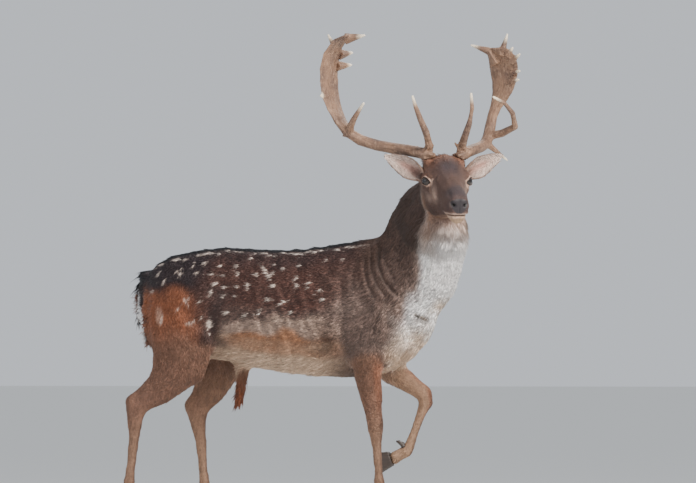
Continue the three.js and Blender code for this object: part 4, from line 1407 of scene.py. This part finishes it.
# The short coat: tufts per square metre, and their length, width and lift, in metres and degrees.
SHORT = {
    "trunk": (165000, 0.0185, 0.0026, 15),
    "neck": (245000, 0.017, 0.002, 15),
    "head": (410000, 0.006, 0.0014, 13),
    "thigh": (165000, 0.015, 0.0024, 15),
    "shin": (260000, 0.008, 0.0017, 11),
    "tail": (150000, 0.022, 0.0024, 8),
    "sheath": (150000, 0.024, 0.0024, 16),
}
# How much of each kind of hair is made, and how much wider the tufts are.
QUICK_SHORT, QUICK_LOCKS, QUICK_EARS, QUICK_WIDTH = ((1, 1, 1, 1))


def coat_table(points):
    """Density, length, width and lift of the coat at each point."""
    return (bone_shares(points) @ np.array([SHORT[bone.kind] for bone in BONES])).T


def bare_places(points):
    """True where no coat grows: eye openings, nose and mouth."""
    spot = head_frame(points)
    x, side, z = mirrored(spot).T
    bare = (x > 0.098) & (np.abs(z - mouth_height(x)) < 0.0022) & (side < 0.05)
    bare |= nose_pad(spot) > 0.4
    for side_sign in SIDES.values():
        _, distance, opening = eye_place(spot, side_sign)
        bare |= (opening < 1.24) & (distance < 0.03)
    return bare


def mottle(tufts):
    """Each tuft's own shade, with dark and pale hairs where the coat is grizzled."""
    salt = grizzle(tufts.root)
    clump = ripple(tufts.root, 0.0055, 51, 18)
    broad = ripple(tufts.root, 0.018, 52, 18)
    strong = np.where(tufts.rng.uniform(size=tufts.count) < 0.45, 0.58, 1.42) ** salt
    return strong * np.exp(0.2 * clump * (0.6 + salt) + 0.09 * broad) * tufts.vary(0.12)


GROUPS = {f"{stretch}_{side}": "back" for stretch in ("rump", "loin", "ribs", "shoulder") for side in SIDES}
GROUPS.update({"belly": "belly", "neck_right": "neck", "neck_left": "neck", "face": "head"})
GROUPS.update({"tail": "tail", "sheath": "belly"})
GROUPS.update({leg: "leg" for leg in LEGS})


def group_of(points, outward):
    """The name of the coat piece that each tuft belongs to."""
    x, y, z = points.T
    owner = BONE_PARTS[bone_shares(points).argmax(1)]
    side = np.where(y < 0, "_right", "_left")
    stretch = np.select([x < -0.24, x < -0.03, x < 0.17], ["rump", "loin", "ribs"], "shoulder")
    under = (outward[:, 2] < -0.25) & (z < 0.55)
    name = np.where(owner == "trunk", np.where(under, "belly", np.char.add(stretch, side)), owner)
    name = np.where(owner == "neck", np.char.add("neck", side), name)
    return np.where(owner == "head", "face", name)


def dress(tufts, name, long_locks=False):
    """Gives a batch its colours and chart places, and makes its mesh."""
    tufts.colour = coat_colour(tufts.root, tufts.outward) * mottle(tufts)[:, None]
    tufts.chart = charts(tufts.root)
    tuft_mesh(name, tufts, long_locks)


def build_short_coat(points, triangles):
    centre = points[triangles].mean(1)
    density = coat_table(centre)[0] * ~bare_places(centre) * QUICK_SHORT
    tufts = Tufts(points, triangles, density, 5)
    _, length, width, lift = coat_table(tufts.root)
    spot = head_frame(tufts.root)
    x, _, z = spot.T
    on_head = ramp(extent(spot), 0.24, 0.2)
    # On the head the hair is longer at the crown, the throat and the cheeks, and shorter at the nose.
    scale = 1 + on_head * (
        1.6 * blob(mirrored(spot), (-0.06, 0.02, 0.075), (0.04, 0.045, 0.04))
        + ramp(z, -0.06, -0.1) * ramp(x, 0.1, 0.02)
        + 0.7 * ramp(x, -0.02, -0.08)
        - 0.45 * ramp(x, 0.08, 0.14)
    )
    for side_sign in SIDES.values():
        _, distance, opening = eye_place(spot, side_sign)
        scale *= 1 - 0.5 * ramp(opening, 1.9, 1.3) * (distance < 0.035)
    tufts.measure(length * scale, width * QUICK_WIDTH, lift, 0.16)
    tufts.way = lie(tufts.root, tufts.outward)
    tufts.tousle(0.45 * (on_head * ramp(z, 0.05, 0.085) * ramp(x, 0, -0.04))[:, None])
    names = group_of(tufts.root, tufts.outward)
    for group, slot in GROUPS.items():
        dress(tufts.kept(names == group), f"coat_{group}")


# The long hair: tufts per square metre, length, width, lift, and the slot of each kind.
LOCKS = {
    "crown": (110000, 0.01, 0.0018, 24, "head"),
    "throat": (16000, 0.017, 0.0022, 17, "neck"),
    "rump_edge": (80000, 0.024, 0.0026, 20, "tail"),
    "belly_line": (16000, 0.03, 0.003, 12, "belly"),
    "tail_hair": (90000, 0.03, 0.0028, 4, "tail"),
    "brush": (200000, 0.034, 0.0024, 12, "belly"),
}
LOCKS_SEED = 60


def build_locks(points, triangles):
    """The long hair: crown, throat and brisket, rump edge, belly line, tail and sheath."""
    centre = points[triangles].mean(1)
    out = normals(points, triangles)[triangles].mean(1)
    x, _, z = centre.T
    both = mirrored(head_frame(centre))
    angle, down = neck_angle(centre)
    owner = BONE_PARTS[bone_shares(centre).argmax(1)]
    shares = {
        "crown": (owner == "head") * blob(both, (-0.062, 0, 0.08), (0.045, 0.05, 0.035)),
        "throat": (owner == "neck") * ramp(angle, 1.3, 0.7) * ramp(down, 0.1, 0.25),
        "rump_edge": (owner == "trunk") * ramp(x, -0.395, -0.41) * ramp(z, 0.72, 0.68)
        * ramp(out[:, 0], -0.3, -0.7),
        "belly_line": (owner == "trunk") * ramp(out[:, 2], -0.5, -0.9) * ramp(z, 0.53, 0.49),
        "tail_hair": (owner == "tail") * 1.0,
        "brush": (owner == "sheath") * ramp(z, 0.44, 0.38),
    }
    coated = QUICK_LOCKS * ~bare_places(centre)
    for number, (name, (density, *sizes, slot)) in enumerate(LOCKS.items()):
        tufts = Tufts(points, triangles, shares[name] * density * coated, LOCKS_SEED + number)
        tufts.measure(*sizes, 0.18)
        tufts.way = lie(tufts.root, tufts.outward)
        if name == "crown":
            tufts.tousle(0.55)
        dress(tufts, f"locks_{name}", long_locks=True)


# On the ears: tufts per square metre, length, width, lift, and the seed of each kind.
EAR_COAT = {"fur": (330000, 0.007, 0.0015, 12, 83), "hair": (34000, 0.018, 0.0015, 20, 84)}


def build_ear_coat(name, points, triangles):
    ear = EARS[name]
    centre = points[triangles].mean(1)
    facing = normals(points, triangles)[triangles].mean(1)
    hollow, across, _ = inside_ear(ear, centre, facing)
    shares = {"fur": np.where(hollow, 0.6, 1), "hair": hollow * ramp(np.abs(across), 0.25, 0.7)}
    for kind, (density, *sizes, seed) in EAR_COAT.items():
        tufts = Tufts(points, triangles, shares[kind] * density * QUICK_EARS, seed)
        hollow, across, along = inside_ear(ear, tufts.root, tufts.outward)
        lean = np.where(hollow, 0.5, 0) * np.sign(across)
        tufts.way = unit(ear.way + lean[:, None] * np.cross(tufts.outward, ear.way))
        tufts.measure(*sizes, 0.2)
        tufts.length *= 1 - 0.4 * ramp(along, 0.7, 1)
        tufts.colour = ear_colour(ear, tufts.root, tufts.outward) * tufts.vary(0.13)[:, None]
        flat = np.clip(np.stack([along, np.where(hollow, 0.25, 0.75) + 0.22 * across], 1), 0, 1)
        tufts.chart = CHART_EDGE + (1 - 2 * CHART_EDGE) * flat
        tuft_mesh(f"ear_{kind}_{name}", tufts, kind == "hair")


# ---- Making them ----

skin_place = body_frame(skin_surface.points)
set_colour(skin.data, coat_colour(skin_place, skin_surface.normals()))
set_number(skin.data, "bare", nose_pad(head_frame(skin_place)))
finish_piece(skin, SKIN_FINISH)
for side_name in SIDES:
    ear_piece = build_ear(side_name)
    ear_points, ear_triangles = read(ear_piece.data)
    ear_points = body_frame(ear_points)
    ear_hue = ear_colour(EARS[side_name], ear_points, normals(ear_points, ear_triangles))
    set_colour(ear_piece.data, ear_hue)
    set_number(ear_piece.data, "bare", np.zeros(len(ear_points)))
    finish_piece(ear_piece, SKIN_FINISH)
    build_ear_coat(side_name, ear_points, ear_triangles)
    build_antler(side_name)
    build_eye(side_name, SIDES[side_name])
for hoofed_leg in LEGS:
    build_hooves(hoofed_leg)
build_short_coat(skin_place, skin_surface.triangles)
build_locks(skin_place, skin_surface.triangles)

# ---- Camera, floor and light ----

CAMERA_DISTANCE = 50
CAMERA_UP = 0.67
FRAME_WIDTH = 2.109
FRAME_RIGHT = 0.191
FRAME_UP = 0.844
SENSOR_WIDTH = 36
FLOOR_HALF = 75
LIGHT_TARGET = 0.8
# Each light: its turn from the camera in degrees, height, distance, size, power and colour.
LIGHTS = {
    "key": (38, 3.4, 4.2, 2.2, 410, (1, 0.94, 0.86)),
    "fill": (-50, 2, 4.6, 3, 50, (0.9, 0.95, 1)),
    "rim": (160, 3.6, 4, 2, 180, (1, 0.98, 0.95)),
}


def build_camera():
    lens = bpy.data.cameras.new("camera")
    lens.sensor_width = SENSOR_WIDTH
    lens.lens = SENSOR_WIDTH * CAMERA_DISTANCE / FRAME_WIDTH
    lens.clip_end = 4 * CAMERA_DISTANCE
    lens.shift_y = (FRAME_UP - CAMERA_UP) / FRAME_WIDTH
    camera = new_object("camera", lens)
    stand = SHIFT + RIGHTWARDS * FRAME_RIGHT + TOWARDS * CAMERA_DISTANCE
    camera.location = (stand[0], stand[1], CAMERA_UP)
    camera.rotation_euler = (math.pi / 2, 0, math.pi / 2 + VIEW_TURN)
    bpy.context.scene.camera = camera


def build_light(name, turn, height, distance, size, power, colour):
    lamp = bpy.data.lights.new(name, "AREA")
    lamp.size = size
    lamp.energy = power
    lamp.color = colour
    light = new_object(name, lamp)
    turn = VIEW_TURN + math.radians(turn)
    target = Vector((SHIFT[0], SHIFT[1], LIGHT_TARGET))
    place = Vector((SHIFT[0], SHIFT[1], height))
    place += distance * Vector((math.cos(turn), math.sin(turn), 0))
    light.location = place
    light.rotation_euler = (target - place).to_track_quat("-Z", "Y").to_euler()


def build_stage():
    shape = bmesh.new()
    bmesh.ops.create_grid(shape, x_segments=1, y_segments=1, size=FLOOR_HALF)
    floor = new_object("floor", as_mesh(shape, "floor"))
    material = bpy.data.materials.new("pale floor")
    material.use_nodes = True
    shader = material.node_tree.nodes["Principled BSDF"]
    shader.inputs["Base Color"].default_value = (0.8, 0.8, 0.78, 1)
    shader.inputs["Roughness"].default_value = 0.9
    floor.data.materials.append(material)
    world = bpy.data.worlds.new("studio")
    world.use_nodes = True
    sky = world.node_tree.nodes["Background"]
    sky.inputs["Color"].default_value = (0.8, 0.84, 0.9, 1)
    sky.inputs["Strength"].default_value = 0.8
    bpy.context.scene.world = world
    for name, settings in LIGHTS.items():
        build_light(name, *settings)


build_camera()
build_stage()
